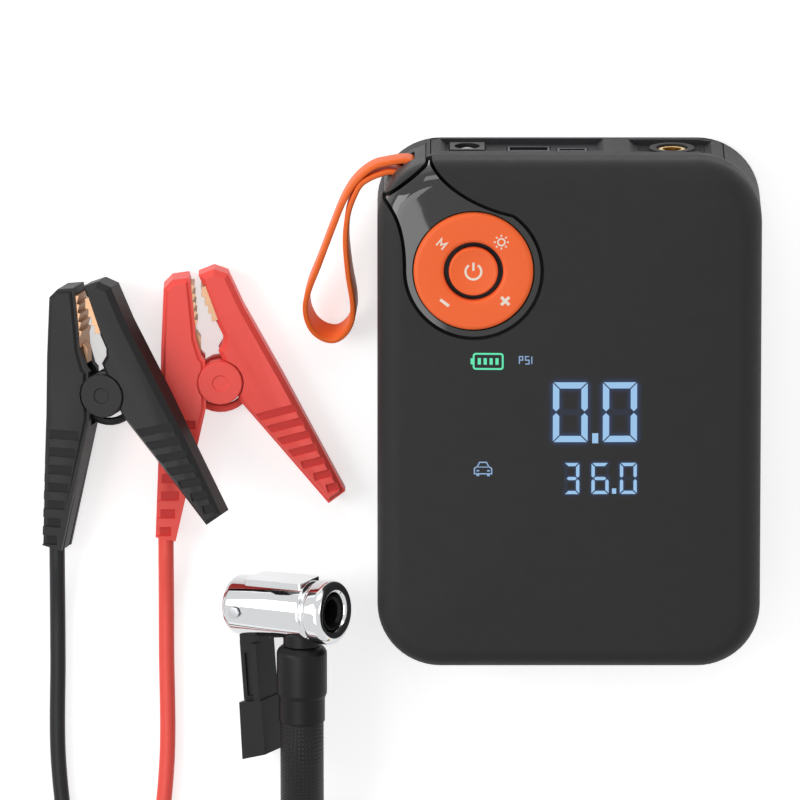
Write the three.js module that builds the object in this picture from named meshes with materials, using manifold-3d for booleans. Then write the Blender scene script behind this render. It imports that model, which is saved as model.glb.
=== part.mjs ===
// Jump starter pack: a handheld unit with a built-in air pump, two battery clamps on
// their leads, and an air hose with a tyre chuck, laid out on a table.
// Millimetres. +Z points out of the unit's front, +Y towards its port panel, and the
// origin is the centre of the unit's flat back, which lies on the table.

import * as THREE from 'three';
import { mergeVertices } from 'three/addons/utils/BufferGeometryUtils.js';
import Module from 'manifold-3d';

const wasm = await Module();
wasm.setup();

const DEG = Math.PI / 180;

// ---- Clearances ---------------------------------------------------------------
const FIT = 0.3;              // pieces that seat on or in each other
const RUN = 0.45;             // round pieces that move

// ---- Unit casing --------------------------------------------------------------
const CASE_W = 127;
const CASE_L = 172;
const CASE_H = 47;
const CORNER_R = 21;
const CORNER_STEPS = 5;
const WALL = 2.5;
const REAR_H = 29.2;          // height of the rear cover
const BACK_ROUND = 3;         // round of the back's edge
const EDGE_W = 8;             // the front's pillow edge, inwards
const EDGE_H = 9.3;           // and upwards
const CROWN_H = 1.7;          // rise of the crown above that edge
const LEFT = -CASE_W / 2;     // the casing's sides and ends
const RIGHT = CASE_W / 2;
const TOP = CASE_L / 2;
const LOW = -CASE_L / 2;
const SCREW_X = RIGHT - 9.5;  // case screws, from the centre line
const SCREW_TOP_Y = TOP - 28;
const SCREW_LOW_Y = LOW + 14;
const SCREW_SHANK_R = 1.5;
const SCREW_HEAD_R = 3;
const SCREW_HEAD_H = 2.2;
const SCREW_TOP_Z = CASE_H - 9;
const BOSS_WALL = 2.2;

// ---- Control pad ----------------------------------------------------------------
const PAD_X = LEFT + 31.7;
const PAD_Y = TOP - 35.6;
const PAD_R = 23.3;
const PAD_SHOULDER = 5;       // where the tail leaves the round part
const PAD_SIDE = 18;
const PAD_TAIL_ANGLE = 55;
const PAD_DEPTH = 3.5;        // pocket below the front's surface
const PAD_SINK = 0.4;         // bezel surface below the front's surface
const PAD_GROOVE = 1.2;       // dark groove round the bezel
const PAD_WALL = 2.5;         // pocket floor and walls
const RING_R = 19.75;
const RING_HOLE_R = 9.8;
const RING_H = 3;
const RING_TOP_Z = CASE_H + 0.3;
const RING_BOTTOM_Z = RING_TOP_Z - RING_H;
const BUTTON_R = 8.1;
const BUTTON_H = 2.3;
const BUTTON_TRAVEL = 0.4;
const MAT_H = 0.4;
const MAT_R = 19;

// ---- Display and electronics ------------------------------------------------------
const DISPLAY_W = 62;
const DISPLAY_L = 52.5;
const DISPLAY_X = PAD_X + 26.8;
const DISPLAY_Y = PAD_Y - PAD_R - PAD_WALL - 0.1 - DISPLAY_L / 2;
const DISPLAY_H = 5.8;
const DISPLAY_GAP = 3.55;     // module's top below the crown
const CELL_H = 8.5;
const CELL_COUNT = 3;
const BOARD_H = 1.6;

// ---- Air pump -----------------------------------------------------------------------
const PUMP_Z = 21;            // height of motor and crank axes
const CRANK_X = RIGHT - 39.5;
const GEAR_MODULE = 1;
const PINION_TEETH = 9;
const GEAR_TEETH = 27;
const PLATE_Y = TOP - 75.7;   // pump plate's motor side
const PLATE_T = 2.7;
const GEAR_Y = PLATE_Y + 4;
const GEAR_H = 4.4;
const MOTOR_R = 13.5;
const MOTOR_SHAFT_R = 1.2;
const CRANK_R = 13;
const CRANK_L = 24;
const CRANK_Y = PLATE_Y + 9.7;
const CYLINDER_R = 10;
const CYLINDER_L = 20;
const CYLINDER_CORE_R = 7.4;
const FIN_COUNT = 4;
const BASE_T = 2.4;
const AIR_TUBE_R = 2.5;

// ---- Battery and board, in the room beside the pump and between the screws ---------------
const PUMP_LEFT = CRANK_X - CRANK_R - 1;
const CELL_FROM_X = LEFT + WALL + 3;
const CELL_TO_X = PUMP_LEFT - 12;
const CELL_FROM_Y = SCREW_LOW_Y + 10;
const CELL_TO_Y = SCREW_TOP_Y - 8;
const CELL_W = CELL_TO_X - CELL_FROM_X;
const CELL_L = CELL_TO_Y - CELL_FROM_Y;
const CELL_X = (CELL_FROM_X + CELL_TO_X) / 2;
const CELL_Y = (CELL_FROM_Y + CELL_TO_Y) / 2;
const BOARD_FROM_X = CELL_FROM_X + 1;
const BOARD_TO_X = PUMP_LEFT - 4;
const BOARD_FROM_Y = CELL_FROM_Y + 2;
const BOARD_TO_Y = CELL_TO_Y - 1;

// ---- Port panel -----------------------------------------------------------------------
const PANEL_LEFT = LEFT + 17.8;
const PANEL_RIGHT = RIGHT - 12.5;
const PANEL_LOW = 3.2;
const PANEL_HIGH = 26.8;
const PANEL_T = 6.5;
const RECESS_DEPTH = 1.8;
const PORT_LEFT = PANEL_LEFT + 3;   // recess of the torch and the USB ports
const PORT_RIGHT = PORT_LEFT + 54;
const PORT_LOW = 4.7;
const PORT_HIGH = 23.3;
const VENT_RIGHT = PANEL_RIGHT - 3; // recess of the vents and the air outlet
const VENT_LEFT = VENT_RIGHT - 28.3;
const VENT_LOW = 5.8;
const VENT_HIGH = 24.6;
const RECESS_SLOPE = 2.2;
const LOUVRE_PITCH = 3.1;
const LOUVRE_GAP = 1.4;
const OUTLET_X = VENT_RIGHT - 14;
const OUTLET_Z = 15.5;
const OUTLET_R = 5;
const OUTLET_BORE_R = 3.1;
const OUTLET_RING_R = 7.5;
const TORCH_X = PORT_LEFT + 8.95;
const TORCH_Z = 13;
const TORCH_SIDE = 11.5;
const TORCH_LENS_R = 4;
const USB_A_X = PORT_LEFT + 29.3;
const USB_A_Z = 12.5;
const USB_A_W = 12.5;
const USB_A_H = 5.1;
const USB_C_X = PORT_LEFT + 43.7;
const USB_C_Z = 14;
const USB_C_W = 8.4;
const USB_C_H = 2.7;
const USB_SHELL = 0.7;
const USB_DEPTH = 12;

// ---- Jump socket, its cover and the plug that fits it -----------------------------------
const SOCKET_Y = LOW + 41;
const SOCKET_Z = 14.5;
const SOCKET_W = 26;
const SOCKET_H = 14;
const SOCKET_DEPTH = 15;
const SOCKET_FLANGE = 3.2;
const SOCKET_RIM = 4;         // flange beyond the block
const SOCKET_PITCH = 12.4;
const SOCKET_BORE_R = 3.4;
const SOCKET_BORE_L = 12;
const COVER_W = 30;
const COVER_H = 17.8;
const COVER_T = 2.2;
const MOTOR_END_Y = SOCKET_Y + SOCKET_W / 2 + SOCKET_RIM + 2;

// ---- Wrist strap -------------------------------------------------------------------------
const ANCHOR_FROM = 104;      // ends of the anchor's chord on the corner, degrees
const ANCHOR_TO = 152;
const ANCHOR_R = 8.5;
const ANCHOR_LOW = 10;
const ANCHOR_HIGH = 33;
const STRAP_PIN_X = LEFT + 10;
const STRAP_PIN_Y = TOP - 5.5;
const STRAP_PIN_R = 1.2;
const STRAP_W = 9;
const STRAP_T = 1.8;
const STRAP_TURN = 16.1;
const STRAP_SAG = 0.00355;
const STRAP_Z = 21;
const STRAP_ROOM = 1;

// ---- Clamps --------------------------------------------------------------------------------
const CLAMP_T = 12;           // thickness over the jaws
const CLAMP_END_T = 9.2;      // and at the handles' ends
const CLAMP_CHAMFER = 1.6;
const CLAMP_CHAMFER_H = 2.2;
const JAW_REACH = 35;         // pivot to the jaws' ends
const HANDLE_REACH = 54;      // pivot to the lead handle's end
const LEVER_REACH = 56;       // pivot to the lever's end
const LUG_R = 7.6;
const LEVER_LUG_FROM = 2.3;   // layers, each side of the middle
const LEVER_LUG_T = 0.9;
const BODY_LUG_T = 1.5;
const PIVOT_R = 2.5;
const PIVOT_HEAD_R = 7.4;
const PIVOT_HEAD_T = 0.9;
const PIVOT_DIMPLE_R = 2.7;
const SPRING_ROOM_R = 12.8;
const SPRING_WIRE = 0.9;
const SPRING_COIL_R = 3.6;
const SPRING_PITCH = 1.4;
const SPRING_TURNS = 2.25;
const LINK_R = 10;
const LINK_WIRE = 2.7;
const LINK_FROM = -128;
const LINK_TO = -35;
const JAW_W = 9.2;            // copper jaws, across the clamp
const JAW_SEAT = 2;
const TOOTH_H = 1.2;
const TOOTH_PITCH = 3;
const GRIP_COUNT = 7;
const GRIP_DEPTH = 0.6;
const BLACK_X = -153.2;
const BLACK_Y = 1.4;
const BLACK_ROLL = 19.5;      // its lever lies over the red clamp's handle
const RED_X = -115.8;
const RED_Y = 4.4;

// ---- Leads and plug --------------------------------------------------------------------------
const LEAD_D = 5.2;
const LEAD_SEAT = 4;
const TABLE_GAP = 0.15;
const PLUG_X = -152;
const PLUG_Y = -232;
const PLUG_W = 24;
const PLUG_H = 14;
const PLUG_L = 36;
const PLUG_PIN_R = 2.5;
const PLUG_PIN_L = 11;

// ---- Tyre chuck ---------------------------------------------------------------------------------
const CHUCK_X = -110.7;       // centre of the head's rear face
const CHUCK_Y = -72.2;
const CHUCK_Z = 7.8;
const CHUCK_TURN = 4;         // about Z
const CHUCK_RISE = 33.6;      // of the head's axis above the table
const CHUCK_L = 40.2;
const CHUCK_R = 10.2;
const CHUCK_RING_R = 10.85;
const CHUCK_RING_L = 6.6;
const CHUCK_BORE_R = 6.3;
const CHUCK_BORE_L = 10;
const SEAL_HOLE_R = 4.3;
const SLOT_T = 6.4;           // slot of the lever in the head
const LEVER_T = 5.6;
const LEVER_PIN_AT = 6.5;
const LEVER_PIN_R = 1.6;
const LEVER_PIN_HEAD_R = 2;
const LEVER_FROM = 8;
const LEVER_WEB_TO = 31.5;
const LEVER_TO = 52.5;
const LEVER_PAD_T = 11;
const LEVER_PAD_W = 8;
const NECK_X = -88.7;
const NECK_Z = 22.8;
const NECK_R = 6.2;
const NECK_END_Y = -82.5;
const SPIGOT_R = 4.2;
const SPIGOT_L = 14;
const BOOT_R = 8.4;
const BOOT_L = 17.5;
const SLEEVE_R = 7.7;
const SLEEVE_L = 8.5;

// ---- Air hose and its fitting ---------------------------------------------------------------------
const HOSE_D = 14.5;
const HOSE_TURN_R = 62;
const HOSE_TURN_Y = -250;
const HOSE_END_Y = -176;
const FERRULE_R = 8.2;
const FERRULE_L = 14;
const NIPPLE_R = 3.8;
const NIPPLE_L = 6;
const NIPPLE_COLLAR = 1;
const NIPPLE_BORE_R = 1.8;
const NUT_L = 13.5;
const NUT_HEX_R = 9.6;

// ---- Helpers ------------------------------------------------------------------------------------------

// A closed geometry becomes a solid: positions only, shared vertices merged.
function solid(geometry) {
  const bare = geometry.clone();
  bare.deleteAttribute('normal');
  bare.deleteAttribute('uv');
  const merged = mergeVertices(bare, 1e-4);
  const corners = merged.index.array;
  const faces = [];
  for (let i = 0; i < corners.length; i += 3) {
    const [a, b, c] = [corners[i], corners[i + 1], corners[i + 2]];
    if (a !== b && b !== c && c !== a) faces.push(a, b, c);
  }
  return new wasm.Manifold(new wasm.Mesh({
    numProp: 3,
    vertProperties: Float32Array.from(merged.attributes.position.array),
    triVerts: Uint32Array.from(faces),
  }));
}

// A solid becomes a flat-shaded geometry again.
function geometryOf(body) {
  const mesh = body.getMesh();
  const geometry = new THREE.BufferGeometry();
  const positions = new Float32Array(mesh.numVert * 3);
  for (let i = 0; i < mesh.numVert; i += 1) {
    for (let k = 0; k < 3; k += 1) {
      positions[3 * i + k] = mesh.vertProperties[mesh.numProp * i + k];
    }
  }
  geometry.setAttribute('position', new THREE.BufferAttribute(positions, 3));
  geometry.setIndex(Array.from(mesh.triVerts));
  const flat = geometry.toNonIndexed();
  flat.computeVertexNormals();
  return flat;
}

// Join a list of solids, and cut a list of solids from one.
const join = (bodies) => bodies.reduce((sum, body) => sum.add(body));
const cut = (body, tools) => tools.reduce((rest, tool) => rest.subtract(tool), body);

// A box between two corners.
function block(x0, x1, y0, y1, z0, z1) {
  const geometry = new THREE.BoxGeometry(x1 - x0, y1 - y0, z1 - z0);
  return solid(geometry.translate((x0 + x1) / 2, (y0 + y1) / 2, (z0 + z1) / 2));
}

// A prism over a polygon of [x, y] points, from z0 to z1.
function prism(points, z0, z1) {
  const shape = new THREE.Shape(points.map(([x, y]) => new THREE.Vector2(x, y)));
  const geometry = new THREE.ExtrudeGeometry(shape, { depth: z1 - z0, bevelEnabled: false });
  return solid(geometry.translate(0, 0, z0));
}

// A geometry revolved about Z from a profile of [radius, height] points.
function turnedGeometry(profile, segments) {
  const points = profile.map(([r, h]) => new THREE.Vector2(r, h));
  return new THREE.LatheGeometry(points, segments).rotateX(90 * DEG);
}

// The same, turned so that the profile's heights run along X or Y instead.
function turned(profile, segments, axis = 'z') {
  const geometry = turnedGeometry(profile, segments);
  if (axis === 'x') geometry.rotateY(90 * DEG);
  if (axis === 'y') geometry.rotateX(-90 * DEG);
  return solid(geometry);
}

// A plain round rod along Z.
const rod = (r, z0, z1, segments = 16) => turned([[0, z0], [r, z0], [r, z1], [0, z1]], segments);
const rodX = (r, x0, x1, segments = 16) => turned([[0, x0], [r, x0], [r, x1], [0, x1]], segments, 'x');
const rodY = (r, y0, y1, segments = 16) => turned([[0, y0], [r, y0], [r, y1], [0, y1]], segments, 'y');

// A skin through a stack of rings of [x, y, z] points, closed by flat ends.
function loft(rings) {
  const n = rings[0].length;
  const positions = rings.flat(2);
  const faces = [];
  for (let k = 0; k + 1 < rings.length; k += 1) {
    for (let i = 0; i < n; i += 1) {
      const [a, b] = [k * n + i, k * n + ((i + 1) % n)];
      faces.push(a, b, b + n, a, b + n, a + n);
    }
  }
  const last = rings.length - 1;
  for (const [ring, start, up] of [[rings[0], 0, false], [rings[last], last * n, true]]) {
    const outline = ring.map(([x, y]) => new THREE.Vector2(x, y));
    for (const [a, b, c] of THREE.ShapeUtils.triangulateShape(outline, [])) {
      faces.push(...(up ? [start + a, start + b, start + c] : [start + a, start + c, start + b]));
    }
  }
  const geometry = new THREE.BufferGeometry();
  geometry.setAttribute('position', new THREE.Float32BufferAttribute(positions, 3));
  geometry.setIndex(faces);
  return solid(geometry);
}

// A rounded rectangle of [x, y, z] points, counter-clockwise.
function roundedRing(width, length, radius, z, steps = CORNER_STEPS) {
  const points = [];
  for (let corner = 0; corner < 4; corner += 1) {
    const sx = corner === 0 || corner === 3 ? 1 : -1;
    const sy = corner < 2 ? 1 : -1;
    for (let i = 0; i <= steps; i += 1) {
      const angle = (corner + i / steps) * 90 * DEG;
      points.push([sx * (width / 2 - radius) + radius * Math.cos(angle),
        sy * (length / 2 - radius) + radius * Math.sin(angle), z]);
    }
  }
  return points;
}

// A polygon moved outwards by d, or inwards where d is negative.
function grown(points, d) {
  return points.map(([x, y], i) => {
    const [px, py] = points[(i + points.length - 1) % points.length];
    const [nx, ny] = points[(i + 1) % points.length];
    const before = new THREE.Vector2(y - py, px - x).normalize();
    const after = new THREE.Vector2(ny - y, x - nx).normalize();
    const middle = before.clone().add(after).normalize();
    const reach = d / Math.max(middle.dot(after), 0.5);
    return [x + middle.x * reach, y + middle.y * reach];
  });
}

// A round section for tubes.
function circleShape(radius, sides) {
  const points = Array.from({ length: sides }, (_, i) => {
    const angle = (i * 360 * DEG) / sides;
    return new THREE.Vector2(radius * Math.cos(angle), radius * Math.sin(angle));
  });
  return new THREE.Shape(points);
}

// A tube along a curve, closed at both ends.
function tube(curve, radius, sides, steps) {
  const settings = { steps, bevelEnabled: false, extrudePath: curve };
  return solid(new THREE.ExtrudeGeometry(circleShape(radius, sides), settings));
}

const smooth = (points) => new THREE.CatmullRomCurve3(
  points.map(([x, y, z]) => new THREE.Vector3(x, y, z)), false, 'centripetal');

// ---- Casing -----------------------------------------------------------------------------------------------

const COVER_Z = REAR_H + FIT;
const CORNER_X = -(CASE_W / 2 - CORNER_R);
const CORNER_Y = CASE_L / 2 - CORNER_R;
const SCREWS = [[-SCREW_X, SCREW_TOP_Y], [SCREW_X, SCREW_TOP_Y],
  [-SCREW_X + 2, SCREW_LOW_Y], [SCREW_X - 2, SCREW_LOW_Y]];
const SCREW_SEAT_Z = FIT + SCREW_HEAD_H + FIT;

const caseRing = (inset, z) => roundedRing(CASE_W - 2 * inset, CASE_L - 2 * inset,
  Math.max(CORNER_R - inset, 5), z);

// Height of the front's crown at a distance in from the casing's side.
function crownZ(inset) {
  const share = (inset - EDGE_W) / (CASE_W / 2 - EDGE_W);
  return CASE_H - CROWN_H * (1 - share) ** 2;
}

// Everything below the pillow front, from a flat bottom, moved inwards by d.
function pillow(d, bottom) {
  const edgeZ = CASE_H - CROWN_H - EDGE_H;
  const rings = [caseRing(d, bottom), caseRing(d, edgeZ - d)];
  for (const angle of [30, 60, 90]) {
    rings.push(caseRing(d + EDGE_W * (1 - Math.cos(angle * DEG)),
      edgeZ - d + EDGE_H * Math.sin(angle * DEG)));
  }
  for (const share of [0.3, 0.7]) {
    const inset = EDGE_W + share * (CASE_W / 2 - EDGE_W);
    rings.push(caseRing(inset, crownZ(inset) - d));
  }
  return loft(rings);
}

// The region of the strap anchor: beyond a chord over the corner, and a round block
// about its pin; it grows by d.
function anchorRegion(d) {
  const ends = [ANCHOR_TO, ANCHOR_FROM].map((angle) => new THREE.Vector2(
    CORNER_X + CORNER_R * Math.cos(angle * DEG), CORNER_Y + CORNER_R * Math.sin(angle * DEG)));
  const along = ends[1].clone().sub(ends[0]).normalize();
  const out = new THREE.Vector2(-along.y, along.x);
  const at = (end, side, reach) => end.clone().addScaledVector(along, side)
    .addScaledVector(out, reach).toArray();
  const chord = [at(ends[0], -4, -d), at(ends[1], 4, -d), at(ends[1], 4, 12), at(ends[0], -4, 12)];
  const round = rod(ANCHOR_R + d, ANCHOR_LOW - d, ANCHOR_HIGH + d, 20)
    .translate([STRAP_PIN_X - 1, STRAP_PIN_Y - 1.5, 0]);
  return prism(chord, ANCHOR_LOW - d, CASE_H).add(round);
}

// The tray: round-edged back, flat floor, port opening, socket opening, screw bosses.
function rearCover() {
  const outside = [0, 45, 90].map((angle) => caseRing(
    BACK_ROUND * (1 - Math.sin(angle * DEG)), BACK_ROUND * (1 - Math.cos(angle * DEG))));
  outside.push(caseRing(0, REAR_H));
  const inside = loft([caseRing(WALL, WALL), caseRing(WALL, CASE_H)]);
  const bosses = SCREWS.map(([x, y]) => rod(SCREW_SHANK_R + FIT + BOSS_WALL, WALL / 2, REAR_H, 12)
    .translate([x, y, 0]));
  const holes = SCREWS.flatMap(([x, y]) => [
    rod(SCREW_SHANK_R + FIT, -1, CASE_H, 12).translate([x, y, 0]),
    rod(SCREW_HEAD_R + FIT, -1, SCREW_SEAT_Z, 12).translate([x, y, 0])]);
  const seats = SCREWS.map(([x, y]) => rod(SCREW_HEAD_R + FIT + BOSS_WALL, WALL / 2,
    SCREW_SEAT_Z + WALL, 12).translate([x, y, 0]));
  const port = block(PANEL_LEFT - FIT, PANEL_RIGHT + FIT, CASE_L / 2 - 12, CASE_L / 2 + 1,
    PANEL_LOW - FIT, PANEL_HIGH + FIT);
  const socket = block(CASE_W / 2 - 2 * WALL, CASE_W / 2 + 1, SOCKET_Y - COVER_W / 2 - FIT,
    SOCKET_Y + COVER_W / 2 + FIT, SOCKET_Z - COVER_H / 2 - FIT, SOCKET_Z + COVER_H / 2 + FIT);
  const shell = loft(outside).subtract(inside);
  return cut(join([shell, ...bosses, ...seats]), [...holes, port, socket, anchorRegion(FIT)]);
}

// Outline of the control pad: a round part and a tail that runs to the strap's corner.
function padOutline() {
  const corner = (angle, side) => {
    const a = new THREE.Vector2(Math.cos(ANCHOR_TO * DEG), Math.sin(ANCHOR_TO * DEG));
    const b = new THREE.Vector2(Math.cos(ANCHOR_FROM * DEG), Math.sin(ANCHOR_FROM * DEG));
    const along = b.clone().sub(a).normalize();
    return new THREE.Vector2(CORNER_X + CORNER_R * Math.cos(angle * DEG),
      CORNER_Y + CORNER_R * Math.sin(angle * DEG)).addScaledVector(along, side);
  };
  const left = corner(ANCHOR_TO, -2);
  const right = corner(ANCHOR_FROM, 2);
  const path = new THREE.Path();
  path.moveTo(left.x, left.y);
  path.quadraticCurveTo(PAD_X - PAD_R, PAD_Y + PAD_SIDE, PAD_X - PAD_R, PAD_Y);
  path.absarc(PAD_X, PAD_Y, PAD_R, 180 * DEG, (360 + PAD_TAIL_ANGLE) * DEG, false);
  path.quadraticCurveTo(PAD_X - PAD_SHOULDER, PAD_Y + PAD_R, right.x, right.y);
  const points = path.getPoints(12).map((p) => [p.x, p.y]);
  return points.filter(([x, y], i) => i === 0
    || Math.hypot(x - points[i - 1][0], y - points[i - 1][1]) > 0.01);
}

// The pillow shell, with the sunk pocket of the control pad and posts for the screws.
function frontCover() {
  const outer = pillow(0, COVER_Z);
  const shell = outer.subtract(pillow(WALL, COVER_Z - 1));
  const pad = padOutline();
  const floor = outer.subtract(pillow(PAD_DEPTH + PAD_WALL, COVER_Z - 1))
    .intersect(prism(grown(pad, PAD_WALL), COVER_Z + 2, CASE_H + 1));
  const pocket = prism(pad, COVER_Z, CASE_H + 1).subtract(pillow(PAD_DEPTH, COVER_Z - 1));
  const posts = SCREWS.map(([x, y]) => rod(SCREW_SHANK_R + FIT + BOSS_WALL, COVER_Z, CASE_H, 12)
    .translate([x, y, 0]).intersect(outer));
  const holes = SCREWS.map(([x, y]) => rod(SCREW_SHANK_R + FIT, 0, SCREW_TOP_Z + FIT, 12)
    .translate([x, y, 0]));
  return cut(join([shell, floor, ...posts]), [pocket, ...holes, anchorRegion(FIT)]);
}

// The corner piece that holds the wrist strap, with the slot and the hole of its pin.
function strapAnchor() {
  const room = STRAP_PIN_R + FIT + STRAP_T + STRAP_ROOM;
  const [low, high] = [STRAP_Z - STRAP_W / 2 - STRAP_ROOM, STRAP_Z + STRAP_W / 2 + STRAP_ROOM];
  const slot = rod(room, low, high, 20).translate([STRAP_PIN_X, STRAP_PIN_Y, 0])
    .add(block(STRAP_PIN_X - 20, STRAP_PIN_X, STRAP_PIN_Y - room, STRAP_PIN_Y + room, low, high));
  const hole = rod(STRAP_PIN_R + FIT, 0, ANCHOR_HIGH - 3, 16)
    .translate([STRAP_PIN_X, STRAP_PIN_Y, 0]);
  return cut(pillow(0, ANCHOR_LOW).intersect(anchorRegion(0)), [slot, hole]);
}

const strapPin = () => rod(STRAP_PIN_R, ANCHOR_LOW + 1, ANCHOR_HIGH - 3 - FIT, 16)
  .translate([STRAP_PIN_X, STRAP_PIN_Y, 0]);

// A case screw: a flat head under the floor and a plain shank up into the cover's post.
const caseScrew = ([x, y]) => turned([[0, FIT], [SCREW_HEAD_R, FIT],
  [SCREW_HEAD_R, FIT + SCREW_HEAD_H], [SCREW_SHANK_R, FIT + SCREW_HEAD_H],
  [SCREW_SHANK_R, SCREW_TOP_Z], [0, SCREW_TOP_Z]], 8).translate([x, y, 0]);

// ---- Control pad and display --------------------------------------------------------------------------------

// The gloss bezel fills the pocket but for a groove, and has the hole of the ring.
function controlBezel() {
  const body = prism(grown(padOutline(), -PAD_GROOVE), COVER_Z, CASE_H)
    .intersect(pillow(PAD_SINK, COVER_Z)).subtract(pillow(PAD_DEPTH - FIT, COVER_Z - 1));
  const hole = rod(RING_R + RUN, 0, CASE_H + 1, 36).translate([PAD_X, PAD_Y, 0]);
  return cut(body, [hole, anchorRegion(FIT)]);
}

// The ring with its four pressing places, its edges rounded off.
const controlRing = () => turned([[RING_HOLE_R, RING_BOTTOM_Z], [RING_R, RING_BOTTOM_Z],
  [RING_R, RING_TOP_Z - 0.9], [RING_R - 0.4, RING_TOP_Z - 0.25], [RING_R - 1.2, RING_TOP_Z],
  [RING_HOLE_R + 1, RING_TOP_Z - 0.1], [RING_HOLE_R + 0.3, RING_TOP_Z - 0.4],
  [RING_HOLE_R, RING_TOP_Z - 1], [RING_HOLE_R, RING_BOTTOM_Z]], 36)
  .translate([PAD_X, PAD_Y, 0]);

// The power button, slightly dished.
function powerButton() {
  const low = RING_BOTTOM_Z + BUTTON_TRAVEL + 0.05;
  const high = low + BUTTON_H;
  return turned([[0, low], [BUTTON_R, low], [BUTTON_R, high - 0.5], [BUTTON_R - 0.5, high],
    [BUTTON_R * 0.6, high - 0.25], [0, high - 0.4]], 24).translate([PAD_X, PAD_Y, 0]);
}

// The rubber mat that the ring rocks on.
const keypadMat = () => rod(MAT_R, RING_BOTTOM_Z - FIT - MAT_H, RING_BOTTOM_Z - FIT, 24)
  .translate([PAD_X, PAD_Y, 0]);

const BOARD_TOP = WALL + CELL_COUNT * (FIT + CELL_H) + FIT + BOARD_H;

// The light block of the digits, standing on the main board by four posts.
function displayModule() {
  const top = CASE_H - DISPLAY_GAP;
  const [x0, x1] = [DISPLAY_X - DISPLAY_W / 2, DISPLAY_X + DISPLAY_W / 2];
  const [y0, y1] = [DISPLAY_Y - DISPLAY_L / 2, DISPLAY_Y + DISPLAY_L / 2];
  const right = Math.min(x1, BOARD_TO_X) - 3;
  const posts = [x0 + 3, right].flatMap((x) => [y0 + 3, y1 - 3].map((y) => rod(2,
    BOARD_TOP + FIT, top - DISPLAY_H / 2, 8).translate([x, y, 0])));
  return join([block(x0, x1, y0, y1, top - DISPLAY_H, top), ...posts]);
}

const mainBoard = () => block(BOARD_FROM_X, BOARD_TO_X, BOARD_FROM_Y, BOARD_TO_Y,
  BOARD_TOP - BOARD_H, BOARD_TOP);

// One flat pouch cell of the stack, its long edges bevelled.
function batteryCell(index) {
  const z = WALL + FIT + index * (CELL_H + FIT);
  const ring = (inset, height) => roundedRing(CELL_W - 2 * inset, CELL_L - 2 * inset, 3,
    z + height, 2).map(([x, y, h]) => [x + CELL_X, y + CELL_Y, h]);
  return loft([ring(1.5, 0), ring(0, 1.5), ring(0, CELL_H - 1.5), ring(1.5, CELL_H)]);
}

// ---- Port panel ---------------------------------------------------------------------------------------------

const FLOOR_Y = CASE_L / 2 - RECESS_DEPTH;
const PANEL_BACK = CASE_L / 2 - PANEL_T;

// A recess with sloping ends, cut into the panel's face.
const recess = (x0, x1, z0, z1) => prism([[x0, CASE_L / 2 + 1], [x0, CASE_L / 2],
  [x0 + RECESS_SLOPE, FLOOR_Y], [x1 - RECESS_SLOPE, FLOOR_Y], [x1, CASE_L / 2],
  [x1, CASE_L / 2 + 1]].reverse(), z0, z1);

// The panel with both recesses, the ring of the air outlet, the louvres and the port holes.
function portPanel() {
  const face = block(PANEL_LEFT, PANEL_RIGHT, PANEL_BACK, CASE_L / 2 + 1, PANEL_LOW, PANEL_HIGH)
    .intersect(pillow(0, 0));
  const ring = rodY(OUTLET_RING_R, PANEL_BACK + 1, CASE_L / 2 - 0.5, 20)
    .translate([OUTLET_X, 0, OUTLET_Z]);
  const slots = [];
  for (let z = VENT_LOW + 1.2; z + LOUVRE_GAP < VENT_HIGH; z += LOUVRE_PITCH) {
    slots.push(block(VENT_LEFT + RECESS_SLOPE + 0.6, VENT_RIGHT - RECESS_SLOPE - 0.6,
      PANEL_BACK - 1, CASE_L / 2 + 1, z, z + LOUVRE_GAP));
  }
  const body = cut(face, [recess(PORT_LEFT, PORT_RIGHT, PORT_LOW, PORT_HIGH),
    recess(VENT_LEFT, VENT_RIGHT, VENT_LOW, VENT_HIGH), ...slots]).add(ring);
  const torch = TORCH_SIDE / 2 + FIT;
  const [shellA, shellC] = [USB_SHELL + FIT, USB_SHELL + FIT];
  return cut(body, [
    rodY(OUTLET_R + FIT, 0, CASE_L, 20).translate([OUTLET_X, 0, OUTLET_Z]),
    block(TORCH_X - torch, TORCH_X + torch, 0, CASE_L, TORCH_Z - torch, TORCH_Z + torch),
    block(USB_A_X - USB_A_W / 2 - shellA, USB_A_X + USB_A_W / 2 + shellA, 0, CASE_L,
      USB_A_Z - USB_A_H / 2 - shellA, USB_A_Z + USB_A_H / 2 + shellA),
    block(USB_C_X - USB_C_W / 2 - shellC, USB_C_X + USB_C_W / 2 + shellC, 0, CASE_L,
      USB_C_Z - USB_C_H / 2 - shellC, USB_C_Z + USB_C_H / 2 + shellC)]);
}

// A USB port: a metal shell about its opening, with a tongue inside.
function usbPort(x, z, width, height, tongue) {
  const shell = (grow, y0, y1) => block(x - width / 2 - grow, x + width / 2 + grow, y0, y1,
    z - height / 2 - grow, z + height / 2 + grow);
  const back = FLOOR_Y - USB_DEPTH;
  const blade = block(x - width / 2 + 0.8, x + width / 2 - 0.8, back, FLOOR_Y - 1.5,
    z - tongue / 2, z + tongue / 2);
  return shell(USB_SHELL, back - USB_SHELL, FLOOR_Y + 0.2).subtract(shell(0, back, CASE_L))
    .add(blade.intersect(shell(0.1, back - 0.1, CASE_L)));
}

// The torch's square frame, proud of the recess, and its domed lens.
const torchBezel = () => block(TORCH_X - TORCH_SIDE / 2, TORCH_X + TORCH_SIDE / 2, PANEL_BACK,
  FLOOR_Y + 1.2, TORCH_Z - TORCH_SIDE / 2, TORCH_Z + TORCH_SIDE / 2)
  .subtract(rodY(TORCH_LENS_R + FIT, 0, CASE_L).translate([TORCH_X, 0, TORCH_Z]));

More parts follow.
